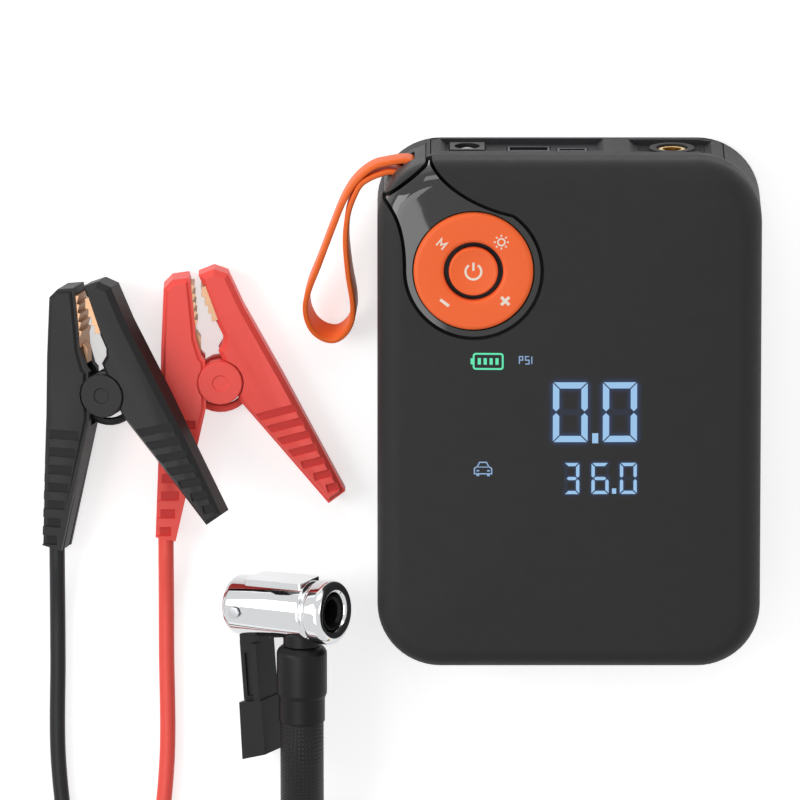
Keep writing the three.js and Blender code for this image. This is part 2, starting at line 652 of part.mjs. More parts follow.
const torchLens = () => turned([[0, PANEL_BACK + 0.2], [TORCH_LENS_R, PANEL_BACK + 0.2],
  [TORCH_LENS_R, FLOOR_Y - 0.4], [TORCH_LENS_R * 0.8, FLOOR_Y + 0.2],
  [0, FLOOR_Y + 0.75]], 16, 'y')
  .translate([TORCH_X, 0, TORCH_Z]);

// The brass outlet: a bored nipple with a collar behind the panel.
const OUTLET_BACK = PANEL_BACK - 7;
function airOutlet() {
  const back = PANEL_BACK - FIT;
  const profile = [[1.5, OUTLET_BACK], [3.4, OUTLET_BACK], [3.4, back - 2.2],
    [OUTLET_R + 1.8, back - 2.2], [OUTLET_R + 1.8, back], [OUTLET_R, back],
    [OUTLET_R, FLOOR_Y + 0.2], [OUTLET_R - 0.6, FLOOR_Y + 0.8], [OUTLET_BORE_R, FLOOR_Y + 0.8],
    [OUTLET_BORE_R, back - 1], [1.5, back - 1.8], [1.5, OUTLET_BACK]];
  return turned(profile, 16, 'y').translate([OUTLET_X, 0, OUTLET_Z]);
}

// ---- Air pump --------------------------------------------------------------------------------------------------

// Outline of a spur gear: four points a tooth, with backlash.
function gearOutline(teeth) {
  const pitchR = (GEAR_MODULE * teeth) / 2;
  const points = [];
  for (let i = 0; i < teeth; i += 1) {
    for (const [share, r] of [[-0.3, -0.95], [-0.13, 0.6], [0.13, 0.6], [0.3, -0.95]]) {
      const angle = ((i + share) * 360 * DEG) / teeth;
      const radius = pitchR + r * GEAR_MODULE;
      points.push([radius * Math.cos(angle), radius * Math.sin(angle)]);
    }
  }
  return points;
}

const GEAR_DISTANCE = (GEAR_MODULE * (PINION_TEETH + GEAR_TEETH)) / 2;
const MOTOR_X = CRANK_X + GEAR_DISTANCE;
const GEAR_SHAFT_R = 2.4;
const GEAR_SHAFT_IN = 3.6;

// A prism over a gear's outline about an axis along Y at (x, z); its local turn is in turns
// of one tooth.
function spurGear(teeth, x, turnShare) {
  const turn = (turnShare * 360) / teeth;
  return prism(gearOutline(teeth), 0, GEAR_H).rotate([0, 0, turn]).rotate([90, 0, 0])
    .translate([x, GEAR_Y + GEAR_H, PUMP_Z]);
}

// The drive gear with its crank shaft, which runs in the crankcase and in the plate.
const driveGear = () => join([spurGear(GEAR_TEETH, CRANK_X, 0),
  rodY(GEAR_SHAFT_R, PLATE_Y + PLATE_T - 1.2, CRANK_Y + GEAR_SHAFT_IN, 16)
    .translate([CRANK_X, 0, PUMP_Z])]);

// The pinion on the motor's shaft; an odd count of teeth meets the gear half a tooth on.
const motorPinion = () => join([spurGear(PINION_TEETH, MOTOR_X, 0),
  rodY(MOTOR_SHAFT_R, PLATE_Y - FIT - 3, GEAR_Y + 1, 12).translate([MOTOR_X, 0, PUMP_Z])]);

// The motor: a can with a rounded rear and a nose with the hole of its shaft.
function compressorMotor() {
  const front = PLATE_Y - FIT;
  const can = turned([[0, MOTOR_END_Y], [MOTOR_R - 2, MOTOR_END_Y],
    [MOTOR_R, MOTOR_END_Y + 2], [MOTOR_R, front - 1], [MOTOR_R - 1, front],
    [MOTOR_SHAFT_R + FIT, front], [MOTOR_SHAFT_R + FIT, front - 4], [0, front - 4]], 16, 'y');
  return can.translate([MOTOR_X, 0, PUMP_Z]);
}

// The pump's casting: base, motor plate, crankcase and finned cylinder with its head.
function pumpFrame() {
  const low = WALL + FIT;
  const plateEnd = PLATE_Y + PLATE_T;
  const base = block(PUMP_LEFT, MOTOR_X + MOTOR_R, PLATE_Y, CRANK_Y + CRANK_L,
    low, low + BASE_T);
  const plate = block(CRANK_X - 6, MOTOR_X + MOTOR_R, PLATE_Y, plateEnd, low,
    PUMP_Z + MOTOR_R);
  const crankcase = rodY(CRANK_R, CRANK_Y, CRANK_Y + CRANK_L, 20)
    .translate([CRANK_X, 0, PUMP_Z]);
  const pedestal = block(CRANK_X - CRANK_R + 3, CRANK_X + CRANK_R - 3, CRANK_Y,
    CRANK_Y + CRANK_L, low, PUMP_Z);
  const pitch = CYLINDER_L / (FIN_COUNT + 1);
  const profile = [[0, CRANK_X], [CYLINDER_CORE_R, CRANK_X]];
  for (let i = 0; i < FIN_COUNT; i += 1) {
    const x = CRANK_X + CRANK_R + pitch * (i + 0.35);
    profile.push([CYLINDER_CORE_R, x], [CYLINDER_R, x], [CYLINDER_R, x + pitch / 2],
      [CYLINDER_CORE_R, x + pitch / 2]);
  }
  const end = CRANK_X + CRANK_R + CYLINDER_L;
  profile.push([CYLINDER_CORE_R, end - pitch * 0.6], [CYLINDER_R, end - pitch * 0.6],
    [CYLINDER_R, end], [0, end]);
  const cylinder = turned(profile, 12, 'x').translate([0, CRANK_Y + CRANK_L / 2, PUMP_Z]);
  const port = rodY(AIR_TUBE_R, CRANK_Y + CRANK_L / 2, AIR_PORT_Y, 12)
    .translate([AIR_PORT_X, 0, PUMP_Z]);
  return cut(join([base, plate, crankcase, pedestal, cylinder, port]), [
    rodY(GEAR_SHAFT_R + FIT, PLATE_Y - 1, CRANK_Y + GEAR_SHAFT_IN + FIT, 16)
      .translate([CRANK_X, 0, PUMP_Z]),
    rodY((GEAR_MODULE * PINION_TEETH) / 2, PLATE_Y - 1, plateEnd + 0.5, 16)
      .translate([MOTOR_X, 0, PUMP_Z])]);
}

// The tube from the cylinder to the outlet.
const AIR_PORT_X = CRANK_X + CRANK_R + CYLINDER_L / 2;
const AIR_PORT_Y = CRANK_Y + CRANK_L / 2 + CYLINDER_R + 1;
const airTube = () => tube(smooth([
  [AIR_PORT_X, AIR_PORT_Y + FIT, PUMP_Z], [AIR_PORT_X, AIR_PORT_Y + 4, PUMP_Z],
  [(AIR_PORT_X + OUTLET_X) / 2, (AIR_PORT_Y + OUTLET_BACK) / 2, (PUMP_Z + OUTLET_Z) / 2],
  [OUTLET_X, OUTLET_BACK - 4, OUTLET_Z], [OUTLET_X, OUTLET_BACK - FIT, OUTLET_Z]]),
AIR_TUBE_R, 8, 10);

// ---- Jump socket ----------------------------------------------------------------------------------------------------

const SOCKET_FACE = CASE_W / 2 - COVER_T - 2 * FIT;

// The socket: a block with a flange behind the wall and two round bores from its face.
function jumpSocket() {
  const flangeFace = CASE_W / 2 - WALL - FIT;
  const [w, h] = [SOCKET_W / 2, SOCKET_H / 2];
  const body = block(SOCKET_FACE - SOCKET_DEPTH, Math.min(SOCKET_FACE, flangeFace),
    SOCKET_Y - w, SOCKET_Y + w, SOCKET_Z - h, SOCKET_Z + h);
  const flange = block(flangeFace - SOCKET_FLANGE, flangeFace, SOCKET_Y - w - SOCKET_RIM,
    SOCKET_Y + w + SOCKET_RIM, SOCKET_Z - h - 3.4, SOCKET_Z + h + 3.4);
  return cut(body.add(flange), [-1, 1].map((side) => rodX(SOCKET_BORE_R,
    SOCKET_FACE - SOCKET_BORE_L, CASE_W, 16)
    .translate([0, SOCKET_Y + (side * SOCKET_PITCH) / 2, SOCKET_Z])));
}

// The rubber cover that closes the opening, with a round hinge along its lower edge.
function socketCover() {
  const outer = CASE_W / 2 - 0.1;
  const hingeZ = SOCKET_Z - COVER_H / 2 + COVER_T / 2;
  const [y0, y1] = [SOCKET_Y - COVER_W / 2, SOCKET_Y + COVER_W / 2];
  const barrel = rodY(COVER_T / 2, y0, y1, 12).translate([outer - COVER_T / 2, 0, hingeZ]);
  const lift = block(outer - 0.9, outer + 0.1, SOCKET_Y - 4, SOCKET_Y + 4,
    SOCKET_Z + COVER_H / 2 - 1.5, SOCKET_Z + COVER_H / 2);
  return block(outer - COVER_T, outer, y0, y1, hingeZ, SOCKET_Z + COVER_H / 2)
    .add(barrel).subtract(lift);
}

// ---- Wrist strap -----------------------------------------------------------------------------------------------------

// The strap is one closed band on edge: round the pin, out of the slot, round its free loop
// and back. The places are those of its upper edge, from the pin. The loop hangs towards
// STRAP_TURN from -Y: the edge drops by STRAP_SAG times the square of its reach that way,
// and the band leans over by the slope of that drop.
function wristStrap() {
  const eye = STRAP_PIN_R + FIT + STRAP_T / 2;
  const places = [-90, -45, 0, 45, 90].map((angle) => [
    eye * Math.cos(angle * DEG), eye * Math.sin(angle * DEG)]);
  places.push([-7.5, 1.4], [-10.8, 0.4], [-14.2, -1.9], [-17.6, -5.5], [-20.9, -11.1],
    [-25, -21.7], [-29.6, -34.9], [-32.8, -43.9], [-34, -49.6], [-33.4, -55.2], [-31.1, -59.8],
    [-27.5, -62.3], [-24.2, -62.5], [-20.8, -59.8], [-18.5, -54.6], [-18.3, -48.6],
    [-19.8, -37.3], [-20.6, -24.5], [-19.5, -15.2], [-17.6, -9.7], [-15.4, -5.7],
    [-12.4, -3.6], [-9.1, -2.2], [-5.8, -1.4]);
  const edge = new THREE.CatmullRomCurve3(places.map(([x, y]) => new THREE.Vector3(x, y, 0)),
    true, 'centripetal');
  const way = new THREE.Vector3(-Math.sin(STRAP_TURN * DEG), -Math.cos(STRAP_TURN * DEG), 0);
  const n = 2 * places.length;
  const positions = [];
  for (let i = 0; i < n; i += 1) {
    const place = edge.getPoint(i / n);
    const reach = Math.max(place.dot(way), 0);
    const lean = Math.atan(2 * STRAP_SAG * reach);
    const up = way.clone().multiplyScalar(Math.sin(lean)).setZ(Math.cos(lean));
    const thin = edge.getTangent(i / n).cross(up).normalize();
    place.z = STRAP_Z + STRAP_W / 2 - STRAP_SAG * reach ** 2;
    for (const [u, v] of [[1, -STRAP_W], [1, 0], [-1, 0], [-1, -STRAP_W]]) {
      const corner = place.clone().addScaledVector(thin, (u * STRAP_T) / 2)
        .addScaledVector(up, v);
      positions.push(STRAP_PIN_X + corner.x, STRAP_PIN_Y + corner.y, corner.z);
    }
  }
  const faces = [];
  for (let i = 0; i < n; i += 1) {
    for (let k = 0; k < 4; k += 1) {
      const [a, b] = [4 * i + k, 4 * i + ((k + 1) % 4)];
      const [c, d] = [4 * ((i + 1) % n) + k, 4 * ((i + 1) % n) + ((k + 1) % 4)];
      faces.push(a, d, b, a, c, d);
    }
  }
  const geometry = new THREE.BufferGeometry();
  geometry.setAttribute('position', new THREE.Float32BufferAttribute(positions, 3));
  geometry.setIndex(faces);
  return solid(geometry);
}

// ---- Clamps -----------------------------------------------------------------------------------------------------------
// Each clamp is modelled flat about its pivot: X to the lever's side, Y to the jaws' ends.
// The lever turns clockwise to open.

const END_NARROW = (CLAMP_T - CLAMP_END_T) / 2;
const KNUCKLE_R = LUG_R + FIT;
const BODY_LUG_FROM = LEVER_LUG_FROM + LEVER_LUG_T + FIT;
const HEAD_FROM = BODY_LUG_FROM + BODY_LUG_T + FIT;
const PIVOT_HALF = HEAD_FROM + PIVOT_HEAD_T;

// Fixed half: jaw, shoulder and the handle that holds the lead.
const HANDLE_END = [-18.3, -HANDLE_REACH];
const bodyOutline = () => [[-15.8, JAW_REACH], [-18.7, JAW_REACH - 3], [-19.6, 12], [-20, -8.6],
  [HANDLE_END[0] - 3.4, -HANDLE_REACH + 0.9], [HANDLE_END[0] + 3.3, -HANDLE_REACH - 0.5],
  [-4.7, -8.6], [-5, 7.5], [-6.2, 8.8], [-8, 15], [-8.3, 19.5], [-9.7, JAW_REACH - 1.1],
  [-10.3, JAW_REACH + 0.8]];

// Moving half: jaw, shoulder and the lever, which ends at LEVER_REACH from the pivot.
const LEVER_TURN = -45;
const leverPoint = (reach, side) => [
  reach * Math.cos(LEVER_TURN * DEG) - side * Math.sin(LEVER_TURN * DEG),
  reach * Math.sin(LEVER_TURN * DEG) + side * Math.cos(LEVER_TURN * DEG)];
const leverOutline = () => [[-7.1, JAW_REACH + 1.4], [-5.6, JAW_REACH - 2.3], [-1.4, 20.9],
  [1, 15.8], [1, 13.4], [-0.6, 10.6], [0.5, 8.4], [6.5, -6.5],
  leverPoint(LEVER_REACH - 1, -4.1), leverPoint(LEVER_REACH, 2.8), [21.3, 1], [8, 25.2],
  [2.7, JAW_REACH + 1.8], [-1.9, JAW_REACH + 3.5]];

// Half the thickness at a distance from the pivot along the handles.
const halfThickness = (y, reach) => CLAMP_T / 2
  - END_NARROW * Math.min(Math.max((-8 - y) / (reach - 8), 0), 1);

// A half's body: its outline with bevelled edges, thinner towards the handle's end.
function halfBody(outline, reach) {
  const inner = grown(outline, -CLAMP_CHAMFER);
  const ring = (points, sign, drop) => points.map(([x, y]) => [x, y,
    sign * (halfThickness(y, reach) - drop)]);
  return loft([ring(inner, -1, 0), ring(outline, -1, CLAMP_CHAMFER_H),
    ring(outline, 1, CLAMP_CHAMFER_H), ring(inner, 1, 0)]);
}

// Lugs of a half: its outline and a disc about the pivot, in one layer on each side.
function lugs(outline, from, thickness) {
  const layer = (z0, z1) => prism(outline, z0, z1).add(rod(LUG_R, z0, z1, 16));
  return [layer(from, from + thickness), layer(-from - thickness, -from)];
}

// Shallow recesses across both faces of a handle, in a row along it. Each spans from
// beyond the outer edge to a share of the width.
function gripRecesses(count, place) {
  const tools = [];
  for (let i = 0; i < count; i += 1) {
    const { x, y, turn, from, to, height, z } = place(i);
    for (const sign of [-1, 1]) {
      tools.push(block(from, to, -height / 2, height / 2, 0, 4)
        .translate([0, 0, z - GRIP_DEPTH]).scale([1, 1, sign])
        .rotate([0, 0, turn]).translate([x, y, 0]));
    }
  }
  return tools;
}

// Outline of a jaw bar along a line: seated in the half by JAW_SEAT, with saw teeth.
function jawOutline([ax, ay], [bx, by], teeth) {
  const length = Math.hypot(bx - ax, by - ay);
  const [ux, uy] = [(bx - ax) / length, (by - ay) / length];
  const at = (u, v) => [ax + ux * u + uy * v, ay + uy * u - ux * v];
  const points = [at(0, -JAW_SEAT), at(length, -JAW_SEAT), at(length, 0.2)];
  const start = length - (teeth * TOOTH_PITCH) - 0.2;
  for (let i = teeth; i > 0; i -= 1) {
    points.push(at(start + i * TOOTH_PITCH, TOOTH_H), at(start + (i - 1) * TOOTH_PITCH + 0.4, 0.2));
  }
  points.push(at(0, 0.2));
  return points.reverse();
}

// The teeth point to the right of the way from the first to the second point.
const JAW_TAB = [[-8.1, 9.9], [-6.4, 9.9], [-6.4, 14.6], [-7.6, 16.6], [-8.1, 16.6]];
const JAW_TAB_W = 4;
const bodyJaw = () => jawOutline([-8.1, 15.5], [-9.6, JAW_REACH - 1.8], 5);
const leverJaw = () => jawOutline([-6.2, JAW_REACH - 2.6], [-1.6, 20.9], 4);

function clampBody() {
  const outline = bodyOutline();
  const full = halfBody(outline, HANDLE_REACH).subtract(rod(KNUCKLE_R, -9, 9, 16));
  const grips = gripRecesses(GRIP_COUNT, (i) => {
    const y = -14.5 - i * 6.1;
    const inside = -4.7 + ((y + 8.6) / (HANDLE_REACH - 8.1)) * 10.3;
    return { x: 0, y, turn: 0, from: -26, to: inside - 2.2, height: 3.2,
      z: halfThickness(y, HANDLE_REACH) };
  });
  const seat = prism(grown(bodyJaw(), FIT), -JAW_W / 2 - FIT, JAW_W / 2 + FIT)
    .add(prism(grown(JAW_TAB, FIT), -JAW_TAB_W / 2 - FIT, JAW_TAB_W / 2 + FIT));
  const leadHole = rodY(LEAD_D / 2 + 2 * FIT, -HANDLE_REACH - 2, -HANDLE_REACH + LEAD_SEAT + FIT, 12)
    .translate([HANDLE_END[0], 0, 0]);
  return cut(join([full, ...lugs(outline, BODY_LUG_FROM, BODY_LUG_T)]), [
    rod(SPRING_ROOM_R, -LEVER_LUG_FROM, LEVER_LUG_FROM, 16), rod(PIVOT_R + FIT, -9, 9, 10),
    seat, leadHole, ...grips]);
}

function clampLever() {
  const outline = leverOutline();
  const full = halfBody(outline, LEVER_REACH * 0.75).subtract(rod(KNUCKLE_R, -9, 9, 16));
  const grips = gripRecesses(GRIP_COUNT, (i) => {
    const reach = 17 + i * 5.7;
    const [x, y] = leverPoint(reach, 0);
    return { x, y, turn: LEVER_TURN + 90 - 30, from: -1.5 + i * 0.1, to: 16, height: 2.8,
      z: halfThickness(y, LEVER_REACH * 0.75) };
  });
  const seat = prism(grown(leverJaw(), FIT), -JAW_W / 2 - FIT, JAW_W / 2 + FIT);
  return cut(join([full, ...lugs(outline, LEVER_LUG_FROM, LEVER_LUG_T)]), [
    rod(SPRING_ROOM_R, -LEVER_LUG_FROM, LEVER_LUG_FROM, 16), rod(PIVOT_R + FIT, -9, 9, 10),
    seat, ...grips]);
}

// The copper jaws; the fixed one ends in a tab towards the link wire.
const fixedJaw = () => prism(bodyJaw(), -JAW_W / 2, JAW_W / 2)
  .add(prism(JAW_TAB, -JAW_TAB_W / 2, JAW_TAB_W / 2));
const movingJaw = () => prism(leverJaw(), -JAW_W / 2, JAW_W / 2);

// The pivot: a shaft between two flat heads, one with a round dimple.
const pivotPin = () => turned([[0, -PIVOT_HALF], [PIVOT_HEAD_R, -PIVOT_HALF],
  [PIVOT_HEAD_R, -HEAD_FROM], [PIVOT_R, -HEAD_FROM], [PIVOT_R, HEAD_FROM],
  [PIVOT_HEAD_R, HEAD_FROM], [PIVOT_HEAD_R, PIVOT_HALF - 0.3], [PIVOT_HEAD_R - 0.3, PIVOT_HALF],
  [PIVOT_DIMPLE_R, PIVOT_HALF], [PIVOT_DIMPLE_R - 0.2, PIVOT_HALF - 0.4],
  [0, PIVOT_HALF - 0.4]], 20);

// Points of the torsion spring: a leg in the body, the coil, a leg in the lever.
function springPoints() {
  const [first, turn] = [-150, SPRING_TURNS * 360];
  const points = [];
  const steps = Math.round(SPRING_TURNS * 8);
  const z = (share) => (share - 0.5) * SPRING_TURNS * SPRING_PITCH;
  const at = (angle, radius, share) => [radius * Math.cos(angle * DEG),
    radius * Math.sin(angle * DEG), z(share)];
  const start = first + 60;
  for (let i = 0; i <= steps; i += 1) {
    points.push(at(start + (turn * i) / steps, SPRING_COIL_R, i / steps));
  }
  return points;
}

// Least gap of the coil to itself, over turns that lie one above the other.
function springGap() {
  const points = springPoints();
  let least = Infinity;
  for (let i = 0; i < points.length; i += 1) {
    for (let k = i + 5; k < points.length; k += 1) {
      const [a, b] = [points[i], points[k]];
      least = Math.min(least, Math.hypot(a[0] - b[0], a[1] - b[1], a[2] - b[2]) - SPRING_WIRE);
    }
  }
  return least;
}

// The wire from point to point, with a leg out of each end of the coil.
function torsionSpring() {
  const coil = springPoints();
  const leg = ([x, y, z], way) => {
    const tangent = [(-y / SPRING_COIL_R) * way, (x / SPRING_COIL_R) * way];
    const reach = Math.sqrt((SPRING_ROOM_R - FIT) ** 2 - SPRING_COIL_R ** 2);
    return [x + tangent[0] * reach, y + tangent[1] * reach, z];
  };
  return wire([leg(coil[0], -1), ...coil, leg(coil[coil.length - 1], 1)], SPRING_WIRE / 2, 5);
}

// A tube with a section square to the path at each point, for wires with tight bends.
function wire(points, radius, sides) {
  const nodes = points.map((p) => new THREE.Vector3(...p));
  const rings = nodes.map((node, i) => {
    const before = i > 0 ? node.clone().sub(nodes[i - 1]).normalize() : new THREE.Vector3();
    const after = i + 1 < nodes.length ? nodes[i + 1].clone().sub(node).normalize()
      : new THREE.Vector3();
    const along = before.add(after).normalize();
    const u = new THREE.Vector3(0, 0, 1).addScaledVector(along, -along.z).normalize();
    const v = along.clone().cross(u);
    return Array.from({ length: sides }, (_, k) => {
      const angle = (k * 360 * DEG) / sides;
      return node.clone().addScaledVector(u, radius * Math.cos(angle))
        .addScaledVector(v, radius * Math.sin(angle)).toArray();
    });
  });
  const faces = [];
  for (let i = 0; i + 1 < rings.length; i += 1) {
    for (let k = 0; k < sides; k += 1) {
      const [a, b] = [i * sides + k, i * sides + ((k + 1) % sides)];
      faces.push(a, b, b + sides, a, b + sides, a + sides);
    }
  }
  const end = (rings.length - 1) * sides;
  for (let k = 1; k + 1 < sides; k += 1) {
    faces.push(0, k + 1, k, end, end + k, end + k + 1);
  }
  const geometry = new THREE.BufferGeometry();
  geometry.setAttribute('position', new THREE.Float32BufferAttribute(rings.flat(2), 3));
  geometry.setIndex(faces);
  return solid(geometry);
}

// The link wire: an arc about the pivot, from the body into the lever's hollow.
function linkWire() {
  const steps = 8;
  const points = Array.from({ length: steps + 1 }, (_, i) => {
    const angle = LINK_FROM + ((LINK_TO - LINK_FROM) * i) / steps;
    return [LINK_R * Math.cos(angle * DEG), LINK_R * Math.sin(angle * DEG), 0];
  });
  return wire(points, LINK_WIRE / 2, 8);
}

// ---- Tyre chuck ---------------------------------------------------------------------------------------------------------

// Placing of the head: along its own X from the rear face to the ring.
const chuckPlace = new THREE.Matrix4().compose(
  new THREE.Vector3(CHUCK_X, CHUCK_Y, CHUCK_Z),
  new THREE.Quaternion().setFromEuler(new THREE.Euler(0, -CHUCK_RISE * DEG, CHUCK_TURN * DEG, 'ZYX')),
  new THREE.Vector3(1, 1, 1));
const placed = (body) => body.transform(chuckPlace.elements.slice());

// The head: a chromed barrel with a front ring, a flat cap, the slot and hole of the
// lever, a bore, and a neck with a spigot for the boot.
function chuckHead() {
  const ringFrom = CHUCK_L - CHUCK_RING_L;
  const barrel = turned([[0, 0], [CHUCK_R - 2.2, 0], [CHUCK_R - 0.6, 0.8], [CHUCK_R, 2.4],
    [CHUCK_R, ringFrom - 2.4], [CHUCK_R - 1.1, ringFrom - 1.7], [CHUCK_R - 1.1, ringFrom - 0.3],
    [CHUCK_RING_R - 0.5, ringFrom], [CHUCK_RING_R, ringFrom + 0.8],
    [CHUCK_RING_R, CHUCK_L - 1.2], [CHUCK_RING_R - 1.2, CHUCK_L], [CHUCK_BORE_R, CHUCK_L],
    [CHUCK_BORE_R, CHUCK_L - CHUCK_BORE_L], [0, CHUCK_L - CHUCK_BORE_L]], 28, 'x');
  const cap = block(8, ringFrom - 3, CHUCK_R - 4, CHUCK_R + 0.3, -6, 6);
  const slot = block(-1, LEVER_PIN_AT + 5, -CHUCK_R - 1, 5, -SLOT_T / 2, SLOT_T / 2);
  const hole = rod(LEVER_PIN_R + FIT, -CHUCK_R - 2, CHUCK_R + 2, 16)
    .translate([LEVER_PIN_AT, 0, 0]);
  const head = placed(cut(barrel.add(cap), [slot, hole]));
  const axis = rodX(CHUCK_BORE_R, CHUCK_L - CHUCK_BORE_L, CHUCK_L + 1, 28);
  const neck = rodY(NECK_R, NECK_END_Y, CHUCK_Y, 20)
    .add(rodY(SPIGOT_R, NECK_END_Y - SPIGOT_L, CHUCK_Y, 16)).translate([NECK_X, 0, NECK_Z]);
  return head.add(neck.subtract(placed(axis.add(slot))));
}

// The rubber seal in the bore.
const chuckSeal = () => turned([[SEAL_HOLE_R, CHUCK_L - CHUCK_BORE_L + FIT],
  [CHUCK_BORE_R - FIT, CHUCK_L - CHUCK_BORE_L + FIT], [CHUCK_BORE_R - FIT, CHUCK_L - 1.2],
  [SEAL_HOLE_R + 0.8, CHUCK_L - 1.2], [SEAL_HOLE_R, CHUCK_L - 2.2],
  [SEAL_HOLE_R, CHUCK_L - CHUCK_BORE_L + FIT]], 20, 'x');

// The pin of the lever, with a round head on top.
const leverPin = () => turned([[0, -CHUCK_R - 0.4], [LEVER_PIN_R, -CHUCK_R - 0.4],
  [LEVER_PIN_R, CHUCK_R + 0.4], [LEVER_PIN_HEAD_R, CHUCK_R + 0.4],
  [LEVER_PIN_HEAD_R, CHUCK_R + 1.4], [0, CHUCK_R + 1.7]], 12)
  .translate([LEVER_PIN_AT, 0, 0]);

// The lever: a round tongue in the slot, a webbed shank with a flange, and a thumb pad.
function chuckLever() {
  const front = LEVER_PIN_AT + 4;
  const back = LEVER_PIN_AT - 4.3;
  const tongue = rod(4.2, -LEVER_T / 2, LEVER_T / 2).translate([LEVER_PIN_AT, 0, 0])
    .add(block(back + 0.1, front, -LEVER_FROM - 8, 0, -LEVER_T / 2, LEVER_T / 2));
  const web = block(back, front, -LEVER_WEB_TO - 1, -LEVER_FROM - 4, -LEVER_T / 2, LEVER_T / 2);
  const flange = block(front - 2.4, front, -LEVER_WEB_TO - 1, -LEVER_FROM - 4,
    -LEVER_PAD_T / 2, LEVER_PAD_T / 2);
  const half = LEVER_PAD_T / 2;
  const pad = prism([[back - 0.6, -LEVER_TO], [back + LEVER_PAD_W + 0.8, -LEVER_TO + 2.4],
    [back + LEVER_PAD_W + 0.8, -LEVER_WEB_TO], [back - 0.2, -LEVER_WEB_TO - 1.2]], -half, half);
  const dish = prism([[back + 1.6, -LEVER_WEB_TO + 0.6], [front - 4, -LEVER_WEB_TO + 0.6],
    [front - 4, -LEVER_FROM - 8], [back + 1.6, -LEVER_FROM - 8]], LEVER_T / 2 - 0.8, half + 1);
  return cut(join([tongue, web, flange, pad]), [dish, dish.scale([1, 1, -1]),
    rod(LEVER_PIN_R + FIT, -9, 9, 16).translate([LEVER_PIN_AT, 0, 0])]);
}

// The rubber boot over the spigot, with round shoulders and a thinner sleeve.
function hoseBoot() {
  const top = NECK_END_Y - FIT;
  const low = top - BOOT_L;
  const end = low - SLEEVE_L;
  return turned([[SPIGOT_R + FIT, top], [SPIGOT_R + FIT, top - SPIGOT_L - FIT], [0, top - SPIGOT_L - FIT],
    [0, end], [SLEEVE_R, end], [SLEEVE_R, low], [BOOT_R - 0.5, low], [BOOT_R, low + 1.2],
    [BOOT_R, top - 2], [BOOT_R - 1, top - 0.6], [NECK_R + 0.2, top],
    [SPIGOT_R + FIT, top]], 20, 'y')
    .translate([NECK_X, 0, NECK_Z]);
}

// ---- Hose, fitting, leads and plug ------------------------------------------------------------------------------------------

const HOSE_START_Y = NECK_END_Y - FIT - BOOT_L - SLEEVE_L - FIT;
const HOSE_LOW = HOSE_D / 2 + TABLE_GAP;
const HOSE_END_X = NECK_X + 2 * HOSE_TURN_R;
const FITTING_Z = NUT_HEX_R + TABLE_GAP;
const HOSE_STEPS = 24;

// The hose: down to the table, along it, round a wide turn and back up to the fitting.
function airHose() {
  const points = [[NECK_X, HOSE_START_Y, NECK_Z], [NECK_X, HOSE_START_Y - 10, NECK_Z],
    [NECK_X, HOSE_START_Y - 38, 14.5], [NECK_X, HOSE_START_Y - 60, HOSE_LOW + 1.6],
    [NECK_X, HOSE_START_Y - 80, HOSE_LOW + 0.1],
    [NECK_X, HOSE_TURN_Y + 40, HOSE_LOW]];
  for (let angle = 180; angle <= 360; angle += 22.5) {
    points.push([NECK_X + HOSE_TURN_R * (1 + Math.cos(angle * DEG)),
      HOSE_TURN_Y + HOSE_TURN_R * Math.sin(angle * DEG), HOSE_LOW]);
  }
  points.push([HOSE_END_X, HOSE_END_Y - 20, FITTING_Z], [HOSE_END_X, HOSE_END_Y, FITTING_Z]);
  const path = smooth(points).getSpacedPoints(HOSE_STEPS).map((p) => p.toArray());
  path[1][2] = NECK_Z;
  path[HOSE_STEPS - 1][2] = FITTING_Z;
  return wire(path, HOSE_D / 2, 12);
}

// The hose's fitting: a ferrule, a neck and a collar that holds the nut, with a bore.
const FERRULE_Y = HOSE_END_Y + FIT;
const NECK_Y = FERRULE_Y + FERRULE_L;
const hoseNipple = () => turned([[NIPPLE_BORE_R, FERRULE_Y], [FERRULE_R - 0.8, FERRULE_Y],
  [FERRULE_R, FERRULE_Y + 0.8], [FERRULE_R, NECK_Y - 1.5], [FERRULE_R - 1.5, NECK_Y],
  [NIPPLE_R, NECK_Y], [NIPPLE_R, NECK_Y + NIPPLE_L - 2], [NIPPLE_R + NIPPLE_COLLAR,
    NECK_Y + NIPPLE_L - 2], [NIPPLE_R + NIPPLE_COLLAR, NECK_Y + NIPPLE_L],
  [NIPPLE_BORE_R, NECK_Y + NIPPLE_L], [NIPPLE_BORE_R, FERRULE_Y]], 16, 'y');

// The swivel nut: hexagonal, bored to run over the outlet's nipple.
function hoseNut() {
  const back = NECK_Y + FIT;
  const hexagon = Array.from({ length: 6 }, (_, i) => [NUT_HEX_R * Math.cos(i * 60 * DEG),
    NUT_HEX_R * Math.sin(i * 60 * DEG)]);
  const body = prism(hexagon, 0, NUT_L).rotate([-90, 0, 0]).translate([0, back, 0])
    .intersect(turned([[0, back], [NUT_HEX_R - 1.2, back], [NUT_HEX_R, back + 0.8],
      [NUT_HEX_R, back + NUT_L - 0.8], [NUT_HEX_R - 1.2, back + NUT_L], [0, back + NUT_L]], 24, 'y'));
  const wall = back + NIPPLE_L - 2 - 2 * FIT;
  return cut(body, [rodY(NIPPLE_R + FIT, back - 1, wall + 1, 16),
    rodY(OUTLET_R + FIT, wall, back + NUT_L + 1, 20)]);
}

